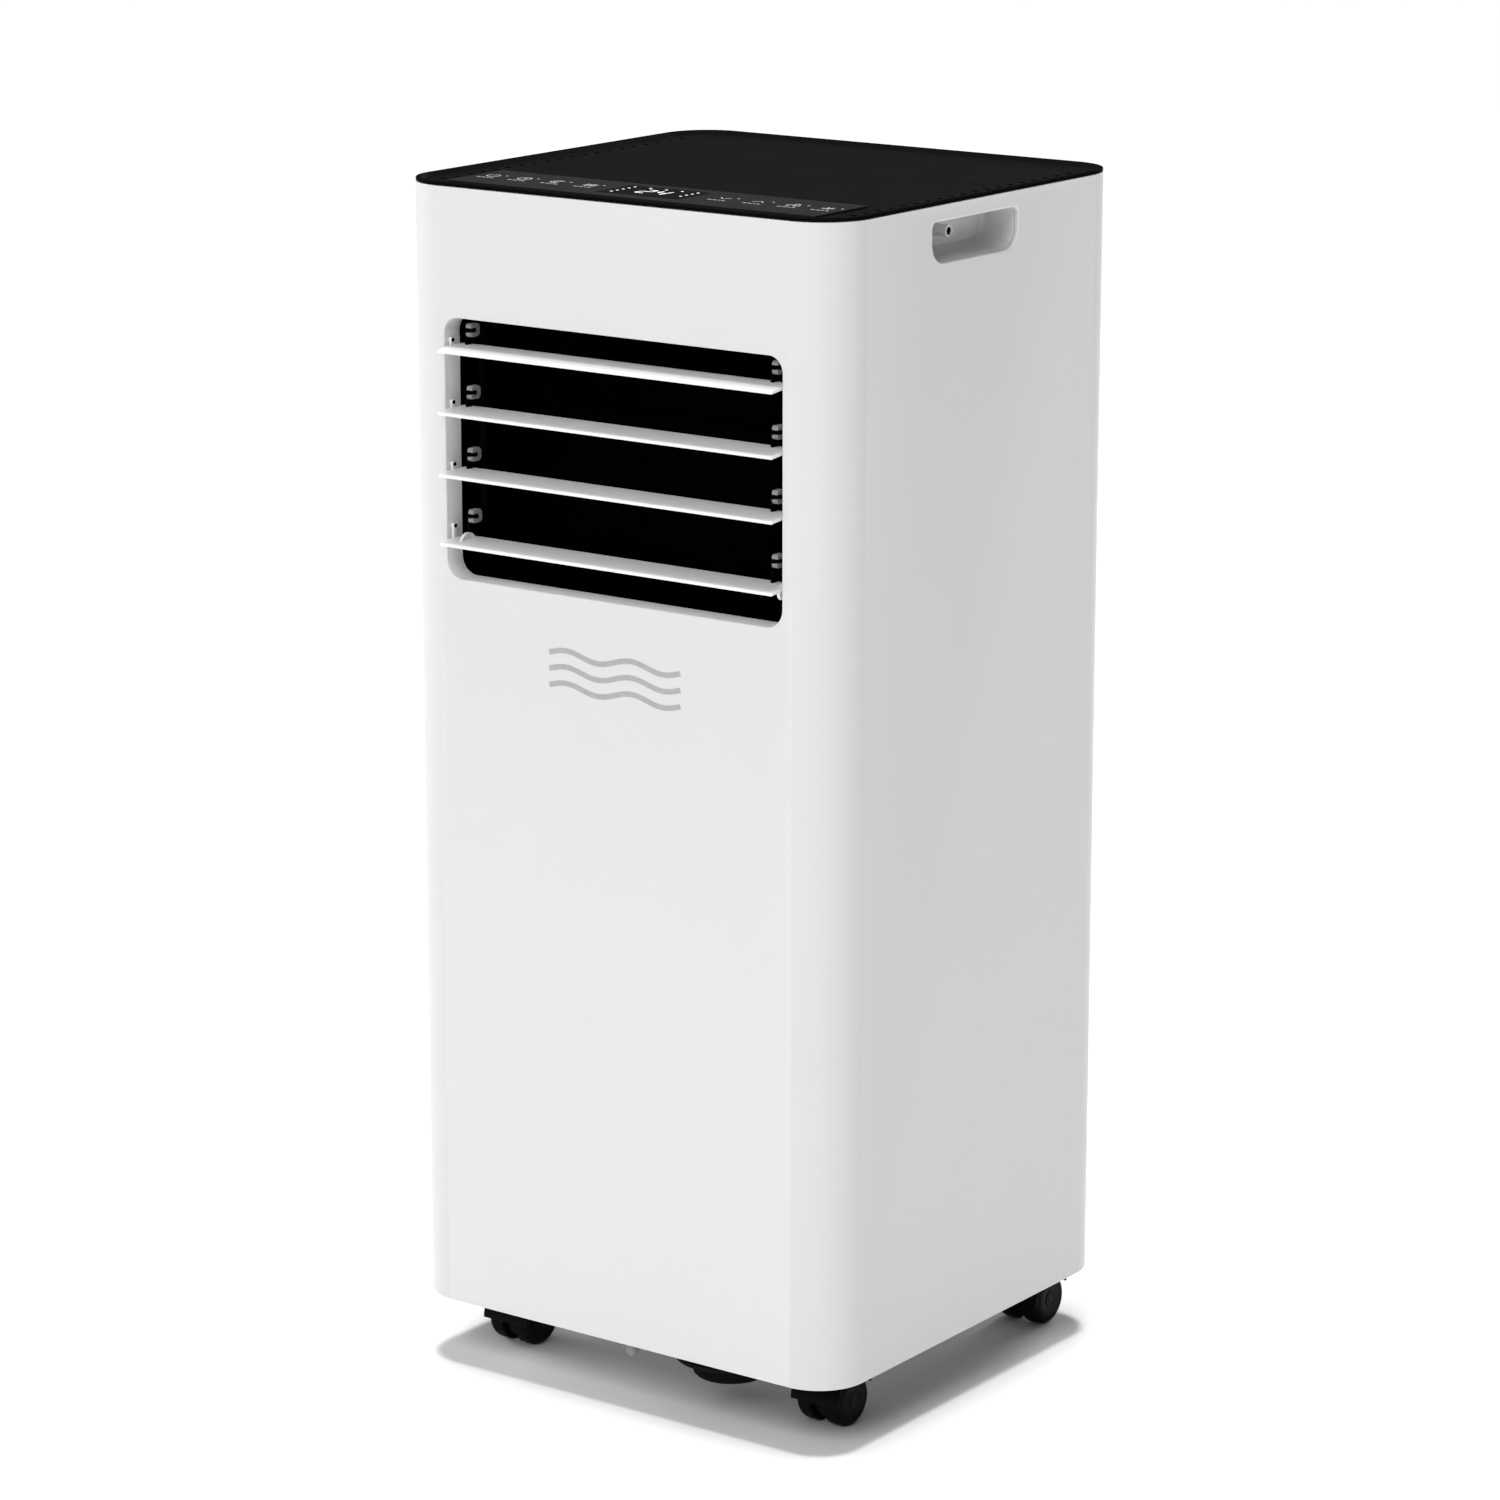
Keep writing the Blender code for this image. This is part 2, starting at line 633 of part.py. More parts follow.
def base_pan(look):
    """The tray that closes the bottom, with a socket for each caster's stem."""
    pan = prism(pan_outline(0.0), "Z", PAN_BOTTOM, PAN_RIM)
    cut(pan, prism(pan_outline(0.002), "Z", PAN_FLOOR, PAN_RIM + 0.01))
    boss_height = 0.0145
    hole_start = PAN_BOTTOM - 0.01
    hole_depth = STEM_TOP + 0.0005 - hole_start
    for _, x, y in stems():
        joined(pan, rod(NECK_RADIUS, (x, y, PAN_BOTTOM + 0.001), boss_height, "Z", 12))
        cut(pan, rod(STEM_HOLE, (x, y, hole_start), hole_depth, "Z", 12))
    part("base_pan", pan, look)


def fork_mesh():
    """A caster's hood, web, axle and stem, with its origin where the stem's axis meets the floor."""
    axle = (TRAIL, WHEEL_RADIUS)
    half = WHEEL_OFFSET + WHEEL_WIDTH / 2
    web = prism(arc(axle, 0.0125, 0, 360, 12)[:-1], "X", -0.003, 0.003)
    hood = arc(axle, HOOD_OUTER, 25, 180, 6) + arc(axle, HOOD_INNER, 180, 25, 6)
    joined(web, prism(hood, "X", -half, half))
    joined(web, block((-0.0028, TRAIL - 0.010, 0.016), (0.0028, TRAIL + 0.010, 0.0325)))
    neck_length = PAN_BOTTOM - GAP - NECK_LOW
    stem_low = 0.030
    joined(web, rod(NECK_RADIUS, (0, 0, NECK_LOW), neck_length, "Z", 12))
    joined(web, rod(STEM_RADIUS, (0, 0, stem_low), STEM_TOP - stem_low, "Z", 12))
    clearance = 0.0006
    reach = WHEEL_WIDTH / 2 + clearance
    space = [
        (WHEEL_RADIUS + clearance, reach),
        (WHEEL_RADIUS + clearance, -reach),
        (AXLE_RADIUS * 0.98, -reach),
        (AXLE_RADIUS * 0.98, reach),
    ]
    for side in (-1, 1):
        cut(web, turned(space, "X", (side * WHEEL_OFFSET, TRAIL, WHEEL_RADIUS), 16))
    joined(web, rod(AXLE_RADIUS, (-half + 0.001, TRAIL, WHEEL_RADIUS), 2 * half - 0.002, "X", 10))
    return baked(web)


def wheel_mesh():
    """A barrel-shaped caster wheel on the X axis."""
    half = WHEEL_WIDTH / 2
    rim = [
        (WHEEL_BORE, half - 0.0015),
        (0.0090, half - 0.0015),
        (0.0100, half),
        (0.0130, half),
        (WHEEL_RADIUS, 0.0015),
        (WHEEL_RADIUS, -half),
        (WHEEL_BORE, -half),
    ]
    return baked(turned(rim, "X", (0, 0, 0), 20))


def casters(fork_look, wheel_look):
    """Four casters, each with wheel a on its -X side and wheel b on its +X side."""
    fork, wheel = fork_mesh(), wheel_mesh()
    mirrored = wheel.copy()
    mirrored.transform(Matrix.Scale(-1, 4, (1, 0, 0)))
    mirrored.flip_normals()
    for name, x, y in stems():
        shared(f"caster_fork_{name}", fork, (x, y, 0), fork_look)
        for side, letter, mesh in ((-1, "a", mirrored), (1, "b", wheel)):
            place = (x + side * WHEEL_OFFSET, y + TRAIL, WHEEL_RADIUS)
            shared(f"caster_wheel_{name}_{letter}", mesh, place, wheel_look)


def under_base(look, nub_look):
    """The sump cup and the small drain nub that hang below the base pan."""
    top = PAN_BOTTOM - GAP
    step, flange = 0.0362, 0.0332
    neck, edge = SUMP_FLANGE - 0.0045, 0.0017
    cup = [(0.0, top), (neck, top), (neck, step), (SUMP_FLANGE, step), (SUMP_FLANGE, flange)]
    cup += [(SUMP_RADIUS + 0.0005, flange), (SUMP_RADIUS, SUMP_BOTTOM + edge)]
    cup += [(SUMP_RADIUS - edge, SUMP_BOTTOM), (0.0, SUMP_BOTTOM)]
    part("sump_cup", turned(cup, "Z", (*SUMP_CENTRE, 0), 32), look)
    nub = [(0.0, top), (0.0050, top), (0.0046, 0.031), (0.0030, 0.0275), (0.0, 0.0265)]
    part("drain_nub", turned(nub, "Z", (*NUB_CENTRE, 0), 16), nub_look)


# Rear fittings


def filter_parts(cover_look, mesh_look):
    outline = rounded((-GRILLE_X, FILTER_LOW), (GRILLE_X, FILTER_HIGH), 0.0074)
    cover = prism(outline, "Y", REAR - WALL, REAR)
    border = 0.008
    cut(cover, slots(FILTER_LOW + border, FILTER_HIGH - border, CUT_FRONT, CUT_BACK))
    part("filter_cover", cover, cover_look)
    inset_by = 0.004
    low = (-GRILLE_X + inset_by, REAR - WALL - 0.0028, FILTER_LOW + inset_by)
    high = (GRILLE_X - inset_by, REAR - WALL - GAP, FILTER_HIGH - inset_by)
    part("air_filter", block(low, high), mesh_look)


def exhaust_collar(look):
    """The round collar that the exhaust hose's adapter slides over."""
    inner, sleeve = PORT_RADIUS, PORT_RADIUS + SLEEVE_WALL
    flange = sleeve + COLLAR_FLANGE
    start = 0.1200
    ring = [
        (sleeve, COLLAR_END),
        (sleeve, REAR + 0.0028),
        (flange, REAR + 0.0028),
        (flange, REAR + GAP),
        (sleeve, REAR + GAP),
        (sleeve, start),
        (inner, start),
        (inner, COLLAR_END),
    ]
    part("exhaust_collar", turned(ring, "Y", (0, 0, PORT_Z), 28), look)


def plug(name, x, z, look):
    """A push-in rubber drain plug."""
    head, shank, end = 0.0085, 0.0062, PANEL_INNER - 0.0002
    profile = [(0.0, REAR + 0.0055), (head - 0.001, REAR + 0.0055), (head, REAR + 0.0045)]
    profile += [(head, REAR + GAP), (shank, REAR + GAP), (shank, end), (0.0, end)]
    part(name, turned(profile, "Y", (x, 0, z), 20), look)


def cord_gland(look):
    """The moulded inlet for the supply cord, with a blind hole where the cord would enter."""
    profile = [
        (0.0, REAR + 0.0035),
        (0.0095, REAR + 0.0035),
        (0.0110, REAR + 0.0022),
        (0.0110, REAR + GAP),
        (0.0078, REAR + GAP),
        (0.0078, PANEL_INNER - 0.004),
        (0.0, PANEL_INNER - 0.004),
    ]
    solid = turned(profile, "Y", (GLAND_X, 0, GLAND_Z), 16)
    cut(solid, rod(0.0035, (GLAND_X, PANEL_INNER - 0.001, GLAND_Z), 0.02, "Y", 16))
    part("cord_gland", solid, look)


# Works


def deck(look, tray_look):
    """The plate between the cold and the hot half, with holes for the pipes, and the tray on it."""
    corner = CORNER - WALL - 0.003
    plate = prism(rounded((-0.1440, -0.1350), (0.1440, 0.1325), corner), "Z", DECK_LOW, DECK_HIGH)
    cut(plate, block((0.112, -0.032, 0.43), (0.132, 0.002, 0.45)))
    cut(plate, block((0.128, 0.090, 0.43), (0.140, 0.110, 0.45)))
    part("middle_deck", plate, look)
    tray = block((-0.122, 0.050, DECK_HIGH + GAP), (0.122, 0.131, 0.462))
    cut(tray, block((-0.120, 0.052, DECK_HIGH + 0.003), (0.120, 0.129, 0.48)))
    part("drip_tray", tray, tray_look)


def coil(name, low_z, high_z, look):
    """A fin-and-tube heat exchanger: a grooved fin block with an end plate at each side."""
    core = block((-0.105, COIL_FRONT + SHEET, low_z), (0.105, COIL_BACK - SHEET, high_z))
    for side in (-1, 1):
        ends = sorted((side * COIL_X, side * (COIL_X - 0.0015)))
        low = (ends[0], COIL_FRONT, low_z - 0.001)
        high = (ends[1], COIL_BACK, high_z + 0.001)
        joined(core, block(low, high))
    grooves = []
    count = 10
    pitch = 0.020
    half = 0.001
    for i in range(count):
        x = pitch * (i + 0.5 - count / 2)
        low = (x - half, COIL_BACK - 0.007, low_z - 0.01)
        grooves.append((low, (x + half, COIL_BACK + 0.005, high_z + 0.01)))
    cut(core, blocks(grooves))
    part(name, core, look)


def fan_wheel(name, radius, z, back, front, shaft_end, look):
    """A centrifugal wheel on the Y axis: a back plate and hub, a ring of blades and a rim."""
    plate = rod(radius, (0, back, z), 0.002, "Y", 24)
    count = 12
    span = front - back - 0.0025
    mesh = bpy.data.meshes.new("blades")
    bm = bmesh.new()
    for i in range(count):
        made = bmesh.ops.create_cube(bm, size=1.0)["verts"]
        bmesh.ops.scale(bm, vec=(0.012, span, 0.0014), verts=made)
        bmesh.ops.rotate(bm, cent=(0, 0, 0), matrix=Matrix.Rotation(math.radians(35), 3, "Y"), verts=made)
        bmesh.ops.translate(bm, vec=(radius - 0.0085, back + 0.001 + span / 2, 0), verts=made)
        turn = Matrix.Rotation(2 * math.pi * i / count, 3, "Y")
        bmesh.ops.rotate(bm, cent=(0, 0, 0), matrix=turn, verts=made)
        bmesh.ops.translate(bm, vec=(0, 0, z), verts=made)
    bm.to_mesh(mesh)
    bm.free()
    inner = radius - 0.014
    ring = [(radius, front), (radius, front - 0.003), (inner, front - 0.003), (inner, front)]
    rim = turned(ring, "Y", (0, 0, z), 24)
    hub = rod(0.012, (0, back - 0.0015, z), 0.014, "Y", 12)
    shaft = rod(0.004, (0, shaft_end, z), back + 0.001 - shaft_end, "Y", 8)
    joined(plate, helper(mesh), rim, hub, shaft)
    part(name, plate, look)


def scroll_outline(z, base, growth, grow=0.0):
    """A blower's spiral outline, whose radius grows once round."""
    points = []
    steps = 28
    for i in range(steps):
        share = i / steps
        radius = base + growth * share + grow
        angle = math.radians(-90) + 2 * math.pi * share
        points.append((radius * math.cos(angle), z + radius * math.sin(angle)))
    return points


def upper_blower(look, wheel_look, motor_look):
    """The room-air blower: its scroll faces the evaporator and opens forward into the outlet duct."""
    z, front, back = UPPER_FAN_Z, SCROLL_FRONT, SCROLL_BACK
    outer = scroll_outline(z, SCROLL_BASE, SCROLL_GROWTH, SHEET)
    inner = scroll_outline(z, SCROLL_BASE, SCROLL_GROWTH)
    scroll = prism(outer, "Y", front, back)
    cut(scroll, prism(inner, "Y", front + SHEET, back - SHEET))
    cut(scroll, rod(0.058, (0, back - 0.01, z), 0.02, "Y", 32))
    cut(scroll, block((-0.060, front - 0.01, 0.590), (0.060, front + 0.01, DUCT_WINDOW_HIGH)))
    part("upper_scroll", scroll, look)
    fan_wheel("upper_fan_wheel", UPPER_FAN_RADIUS, z, -0.030, 0.034, -0.0355, wheel_look)
    motor = rod(0.034, (0, front + 0.0023, z), 0.032, "Y", 28)
    joined(motor, rod(0.010, (0, front + 0.030, z), 0.0058, "Y", 16))
    part("upper_fan_motor", motor, motor_look)


def lower_blower(look, wheel_look, motor_look):
    """The condenser-air blower, which empties through the exhaust collar."""
    z, front, back = PORT_Z, 0.022, 0.1190
    outline = rounded((-0.072, PORT_Z - 0.066), (0.072, PORT_Z + 0.066), 0.030, 5)
    inner = rounded((-0.070, PORT_Z - 0.064), (0.070, PORT_Z + 0.064), 0.028, 5)
    box = prism(outline, "Y", front, back)
    cut(box, prism(inner, "Y", front + SHEET, back - SHEET))
    cut(box, rod(0.044, (0, front - 0.01, z), 0.02, "Y", 28))
    cut(box, rod(PORT_RADIUS, (0, back - 0.01, z), 0.02, "Y", 36))
    part("lower_scroll", box, look)
    fan_wheel("lower_fan_wheel", LOWER_FAN_RADIUS, z, 0.034, 0.090, 0.0195, wheel_look)
    motor = rod(0.032, (0, -0.024, z), 0.040, "Y", 28)
    joined(motor, rod(0.010, (0, 0.010, z), 0.0092, "Y", 16))
    part("lower_fan_motor", motor, motor_look)


def compressor(look, rubber_look, pipe_look):
    """The rotary compressor on its three grommets, with its accumulator."""
    shell = [
        (0.0, 0.2550),
        (0.020, 0.2535),
        (0.040, 0.2460),
        (COMPRESSOR_RADIUS, 0.2300),
        (COMPRESSOR_RADIUS, 0.0850),
        (0.044, 0.0740),
        (0.020, 0.0680),
        (0.0, 0.0680),
    ]
    body = turned(shell, "Z", (COMPRESSOR_X, COMPRESSOR_Y, 0), 28)
    feet = [math.radians(90 + 120 * i) for i in range(3)]
    reach = COMPRESSOR_FOOT_RADIUS
    centres = [(COMPRESSOR_X + reach * math.cos(a), COMPRESSOR_Y + reach * math.sin(a)) for a in feet]
    outline = []
    for centre, a in zip(centres, feet):
        outline += arc(centre, 0.010, math.degrees(a) - 60, math.degrees(a) + 60, 4)
    joined(body, prism(outline, "Z", 0.0655, 0.0690))
    part("compressor", body, look)
    foot = PAN_FLOOR + GAP
    grommet = [(0.0, 0.0652), (0.0085, 0.0652), (0.0085, 0.060), (0.0070, 0.055)]
    grommet += [(0.0085, foot), (0.0, foot)]
    for i, (x, y) in enumerate(centres):
        part(f"compressor_grommet_{i + 1}", turned(grommet, "Z", (x, y, 0), 16), rubber_look)
    bottle = [(0.0, 0.215), (0.014, 0.212), (0.021, 0.200), (0.021, 0.110), (0.014, 0.098), (0.0, 0.095)]
    part("accumulator", turned(bottle, "Z", (ACCUMULATOR_X, COMPRESSOR_Y, 0), 20), pipe_look)


def pipes(look):
    """The three copper lines between the compressor and the two coils."""
    top = 0.2155
    suction = [
        (ACCUMULATOR_X, COMPRESSOR_Y, top),
        (ACCUMULATOR_X, COMPRESSOR_Y, 0.262),
        (0.122, -0.015, 0.262),
        (0.122, -0.015, 0.500),
        (0.122, 0.090, 0.500),
        (0.1065, 0.090, 0.500),
    ]
    part("suction_pipe", tube(suction, 0.005), look)
    discharge = [
        (COMPRESSOR_X, COMPRESSOR_Y, 0.2555),
        (COMPRESSOR_X, COMPRESSOR_Y, 0.285),
        (-0.124, 0.020, 0.285),
        (-0.124, 0.095, 0.270),
        (-0.1065, 0.095, 0.270),
    ]
    part("discharge_pipe", tube(discharge, 0.0035), look)
    liquid = [
        (0.1065, 0.100, 0.110),
        (0.134, 0.100, 0.110),
        (0.134, 0.100, 0.480),
        (0.1065, 0.100, 0.480),
    ]
    part("liquid_pipe", tube(liquid, 0.003), look)


def electrics(box_look, can_look):
    """The electrical box and the run capacitor beside it."""
    box = block((0.045, -0.131, 0.285), (0.135, -0.075, 0.425), 0.002)
    part("electrical_box", box, box_look)
    can = [(0.0, 0.372), (0.016, 0.372), (0.018, 0.370), (0.018, 0.302), (0.016, 0.300), (0.0, 0.300)]
    part("run_capacitor", turned(can, "Z", (0.018, -0.105, 0), 20), can_look)


def slinger(motor_look, wheel_look):
    """The small wheel that throws condensate over the condenser, with its motor."""
    x, z = SLINGER_X, SLINGER_Z
    motor = rod(0.016, (x, 0.022, z), 0.028, "Y", 20)
    part("slinger_motor", motor, motor_look)
    hub = rod(0.008, (x, 0.0505, z), 0.012, "Y", 16)
    disc = rod(0.024, (x, 0.056, z), 0.002, "Y", 28)
    cross = block((x - 0.021, 0.0565, z - 0.0008), (x + 0.021, 0.0615, z + 0.0008))
    upright = block((x - 0.0008, 0.0565, z - 0.021), (x + 0.0008, 0.0615, z + 0.021))
    joined(disc, hub, cross, upright)
    part("slinger_wheel", disc, wheel_look)


def float_switch(look):
    """The float on its stalk that stops the machine when the base pan is full."""
    stalk = rod(0.004, (FLOAT_X, FLOAT_Y, PAN_FLOOR + GAP), 0.040, "Z", 12)
    joined(stalk, rod(0.009, (FLOAT_X, FLOAT_Y, 0.055), 0.012, "Z", 16))
    part("float_switch", stalk, look)


def build():
    clear_scene()
    collection(PARTS)
    collection(CUTTERS)
    white = material("white_plastic", (0.86, 0.87, 0.87), 0.38)
    black = material("black_plastic", (0.012, 0.012, 0.013), 0.42)
    strip = material("control_strip", (0.022, 0.022, 0.024), 0.30)
    glass = material("display_glass", (0.004, 0.004, 0.005), 0.10)
    grey = material("grey_plastic", (0.15, 0.15, 0.155), 0.50)
    galvanised = material("galvanised_steel", (0.55, 0.56, 0.58), 0.40, 0.9)
    fins = material("aluminium_fins", (0.75, 0.76, 0.78), 0.35, 0.9)
    copper = material("copper_pipe", (0.72, 0.36, 0.20), 0.30, 1.0)
    dark_steel = material("painted_steel", (0.02, 0.02, 0.022), 0.45)
    rubber = material("rubber", (0.02, 0.02, 0.02), 0.80)
    board = material("circuit_board", (0.02, 0.16, 0.07), 0.45)
    mesh = material("filter_mesh", (0.06, 0.06, 0.065), 0.70)
    clear = material("clear_plastic", (0.80, 0.80, 0.78), 0.30)

    front_casing(white)
    rear_casing(white)
    top_cover(black)
    controls(strip, glass, board)
    handle_cups(white)
    outlet_duct(black)
    for index in range(4):
        blade(index, white)
    link_bar(-1, "left", grey)
    link_bar(1, "right", grey)
    swing_motor(galvanised)
    base_pan(black)
    casters(black, black)
    under_base(black, clear)
    filter_parts(white, mesh)
    exhaust_collar(white)
    plug("drain_plug", DRAIN_X, DRAIN_Z, rubber)
    plug("lower_drain_plug", 0.0, LOW_DRAIN_Z, rubber)
    cord_gland(black)
    deck(galvanised, white)
    coil("evaporator", EVAPORATOR_LOW, EVAPORATOR_HIGH, fins)
    coil("condenser", CONDENSER_LOW, CONDENSER_HIGH, fins)
    upper_blower(black, black, galvanised)
    lower_blower(white, black, galvanised)
    compressor(dark_steel, rubber, dark_steel)
    pipes(copper)
    electrics(galvanised, galvanised)
    slinger(galvanised, white)
    float_switch(white)


build()
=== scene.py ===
"""The looks of the portable air conditioner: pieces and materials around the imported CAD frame.

Metres, +Z up. The origin is on the floor under the middle of the cabinet and the front faces -Y.
"""

import json
import math

import bmesh
import bpy
from mathutils import Matrix, Vector

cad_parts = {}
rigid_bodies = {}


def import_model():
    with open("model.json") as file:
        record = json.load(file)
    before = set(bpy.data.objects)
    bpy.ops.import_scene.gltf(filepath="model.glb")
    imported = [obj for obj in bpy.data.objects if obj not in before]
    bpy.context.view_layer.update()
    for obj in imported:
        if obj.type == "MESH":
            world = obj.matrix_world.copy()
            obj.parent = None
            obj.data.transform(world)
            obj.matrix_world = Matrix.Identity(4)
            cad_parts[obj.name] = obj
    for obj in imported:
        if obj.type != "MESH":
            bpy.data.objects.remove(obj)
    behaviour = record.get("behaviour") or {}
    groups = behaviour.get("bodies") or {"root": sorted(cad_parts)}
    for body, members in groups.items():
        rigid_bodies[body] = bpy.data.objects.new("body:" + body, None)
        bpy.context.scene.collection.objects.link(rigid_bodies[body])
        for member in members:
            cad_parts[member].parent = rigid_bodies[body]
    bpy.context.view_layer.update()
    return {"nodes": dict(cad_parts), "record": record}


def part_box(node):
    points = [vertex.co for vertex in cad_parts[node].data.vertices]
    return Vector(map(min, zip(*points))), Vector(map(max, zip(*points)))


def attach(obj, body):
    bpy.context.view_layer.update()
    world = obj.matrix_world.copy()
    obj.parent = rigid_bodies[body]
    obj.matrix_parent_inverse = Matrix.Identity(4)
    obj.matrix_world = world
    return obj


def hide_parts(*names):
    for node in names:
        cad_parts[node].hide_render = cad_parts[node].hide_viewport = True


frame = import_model()
nodes = frame["nodes"]

# Dimensions that the CAD model has too
WIDTH, DEPTH = 0.298, 0.280
FRONT, REAR = -DEPTH / 2, DEPTH / 2
CORNER = 0.0294
WALL = 0.0025
GAP = 0.0003
RETURN_X = WIDTH / 2 - CORNER - 0.006
SHELL_BOTTOM, SHELL_TOP = 0.039, 0.685
LIP_TOP = 0.6872
OUTLET_X = 0.1146
OUTLET_LOW, OUTLET_HIGH = 0.4665, 0.6129
REVEAL_BACK = -0.1265
REVEAL_WALL = 0.0022
HANDLE_FRONT, HANDLE_REAR = -0.0503, 0.0330
HANDLE_LOW, HANDLE_HIGH = 0.653, 0.676
PIVOT_Y, PIVOT_TOP_Z, PIVOT_PITCH = -0.1350, 0.5996, 0.0348
BLADE_FRONT, BLADE_REAR = -0.1479, -0.1238
BLADE_THICK, BLADE_CROWN = 0.0018, 0.0006
BLADE_BELOW_PIVOT = (0.0044, 0.0044, 0.0044, 0.0083)
CRANK_Y, CRANK_Z = 0.0063, 0.0055
CLIP_X = 0.104
RAIL_FRONT, RAIL_BACK = -0.1210, -0.1185
DISC_X, DISC_Y = (-0.104, 0.1102), (-0.1350, -0.1330)
DISC_BELOW_PIVOT, DISC_RADIUS = (0.0094, 0.0102), (0.0065, 0.0042)
TRAIL = 0.012
WHEEL_RADIUS, WHEEL_WIDTH, WHEEL_OFFSET = 0.0155, 0.0115, 0.010
COLLAR_Z, COLLAR_HOLE = 0.372, 0.0675
SLOT_PITCH, SLOT_HEIGHT = 0.0145, 0.0065
LOWER_GRILLE = (0.100, 0.275)
FILTER_GRILLE = (0.485, 0.645)

# Dimensions of the looks alone. The outlet's corners go anticlockwise from its lower left.
OUTLET_CORNERS = (0.0105, 0.0105, 0.0090, 0.0090)
BOSS_END, BOSS_Y, BOSS_Z = 0.1340, -0.0128, 0.6665
VENT_X, VENT_HALF_X, VENT_HALF_Y = 0.1342, 0.0016, 0.0020
SYMBOL_Y, SYMBOL_SCALE = -0.0965, 1.45
PRINT_SUNK, PRINT_RAISED = 0.00002, 0.00006
EMBLEM_X, EMBLEM_Z, EMBLEM_WIDTH = 0.002, 0.424, 0.090
CUT_START, CUT_END = 0.12, 0.16


# Materials: Principled shaders whose colour, roughness and bump vary by noise in object space


class Look:
    """A node material under construction."""

    def __init__(self, name, colour, roughness, metallic=0.0, specular=0.5):
        self.made = bpy.data.materials.new(name)
        self.made.use_nodes = True
        self.tree = self.made.node_tree
        self.shader = self.tree.nodes["Principled BSDF"]
        self.colour, self.roughness = colour, roughness
        self.shader.inputs["Base Color"].default_value = (*colour, 1)
        self.shader.inputs["Roughness"].default_value = roughness
        self.shader.inputs["Metallic"].default_value = metallic
        self.shader.inputs["Specular IOR Level"].default_value = specular
        self.made.diffuse_color = (*colour, 1)
        self.place = self.node("ShaderNodeTexCoord").outputs["Object"]
        self.last_bump = None

    def node(self, kind, **settings):
        made = self.tree.nodes.new(kind)
        for key, value in settings.items():
            setattr(made, key, value)
        return made

    def link(self, source, target):
        self.tree.links.new(source, target)

    def noise(self, size, detail=2.0):
        """Noise whose features are about size metres across."""
        mapping = self.node("ShaderNodeMapping")
        mapping.inputs["Scale"].default_value = [1 / size] * 3
        self.link(self.place, mapping.inputs["Vector"])
        texture = self.node("ShaderNodeTexNoise")
        texture.inputs["Scale"].default_value = 1.0
        texture.inputs["Detail"].default_value = detail
        self.link(mapping.outputs["Vector"], texture.inputs["Vector"])
        return texture.outputs["Fac"]

    def spread(self, source, low, high, from_low=0.3, from_high=0.7):
        """Maps from_low to from_high onto low to high."""
        ranged = self.node("ShaderNodeMapRange")
        limits = {"From Min": from_low, "From Max": from_high, "To Min": low, "To Max": high}
        for name, value in limits.items():
            ranged.inputs[name].default_value = value
        self.link(source, ranged.inputs["Value"])
        return ranged.outputs["Result"]

    def blend(self, first, second, factor):
        """Mixes two colours for the base colour."""
        mix = self.node("ShaderNodeMix", data_type="RGBA")
        mix.inputs["A"].default_value = (*first, 1)
        mix.inputs["B"].default_value = (*second, 1)
        self.link(factor, mix.inputs["Factor"])
        self.link(mix.outputs["Result"], self.shader.inputs["Base Color"])
        return self

    def mottle(self, size, other):
        """Varies the base colour by noise, towards another colour or darker by a share."""
        if isinstance(other, float):
            other = [c * (1 - other) for c in self.colour]
        return self.blend(self.colour, other, self.spread(self.noise(size), 0, 1))

    def uneven(self, size, amount):
        """Varies the roughness by noise."""
        low, high = self.roughness - amount, self.roughness + amount
        self.link(self.spread(self.noise(size), low, high), self.shader.inputs["Roughness"])
        return self

    def bump(self, source, height):
        """Adds a bump of source, height metres tall, over those made so far."""
        step = self.node("ShaderNodeBump")
        step.inputs["Strength"].default_value = 1.0
        step.inputs["Distance"].default_value = height
        self.link(source, step.inputs["Height"])
        if self.last_bump:
            self.link(self.last_bump, step.inputs["Normal"])
        self.last_bump = step.outputs["Normal"]
        self.link(self.last_bump, self.shader.inputs["Normal"])
        return self

    def grain(self, size, height):
        return self.bump(self.noise(size, 3.0), height)

    def wave(self, pitch, axis, profile="SIN"):
        """A wave along one axis, one crest every pitch metres."""
        texture = self.node("ShaderNodeTexWave", bands_direction=axis, wave_profile=profile)
        texture.inputs["Scale"].default_value = math.pi / (10 * pitch)
        self.link(self.place, texture.inputs["Vector"])
        return texture.outputs["Fac"]

    def cells(self, size):
        texture = self.node("ShaderNodeTexVoronoi")
        texture.inputs["Scale"].default_value = 1 / size
        self.link(self.place, texture.inputs["Vector"])
        return texture

    def lighter_edges(self, lift):
        """Lightens a mottled colour at the sharp outer edges, found by pointiness."""
        pointiness = self.node("ShaderNodeNewGeometry").outputs["Pointiness"]
        edge = self.spread(pointiness, 0, lift, 0.52, 0.62)
        base = self.shader.inputs["Base Color"]
        mix = self.node("ShaderNodeMix", data_type="RGBA")
        self.link(base.links[0].from_socket, mix.inputs["A"])
        mix.inputs["B"].default_value = [min(1, c * 1.15 + 0.06) for c in self.colour] + [1]
        self.link(edge, mix.inputs["Factor"])
        self.link(mix.outputs["Result"], base)
        return self


def surface(name, colour, roughness, specular, mottle, uneven=None, grain=None, lighter_edges=None):
    """A look by its steps: mottle, uneven and grain are each a size and an amount."""
    look = Look(name, colour, roughness, specular=specular).mottle(*mottle)
    if uneven:
        look.uneven(*uneven)
    if grain:
        look.grain(*grain)
    if lighter_edges:
        look.lighter_edges(lighter_edges)
    return look


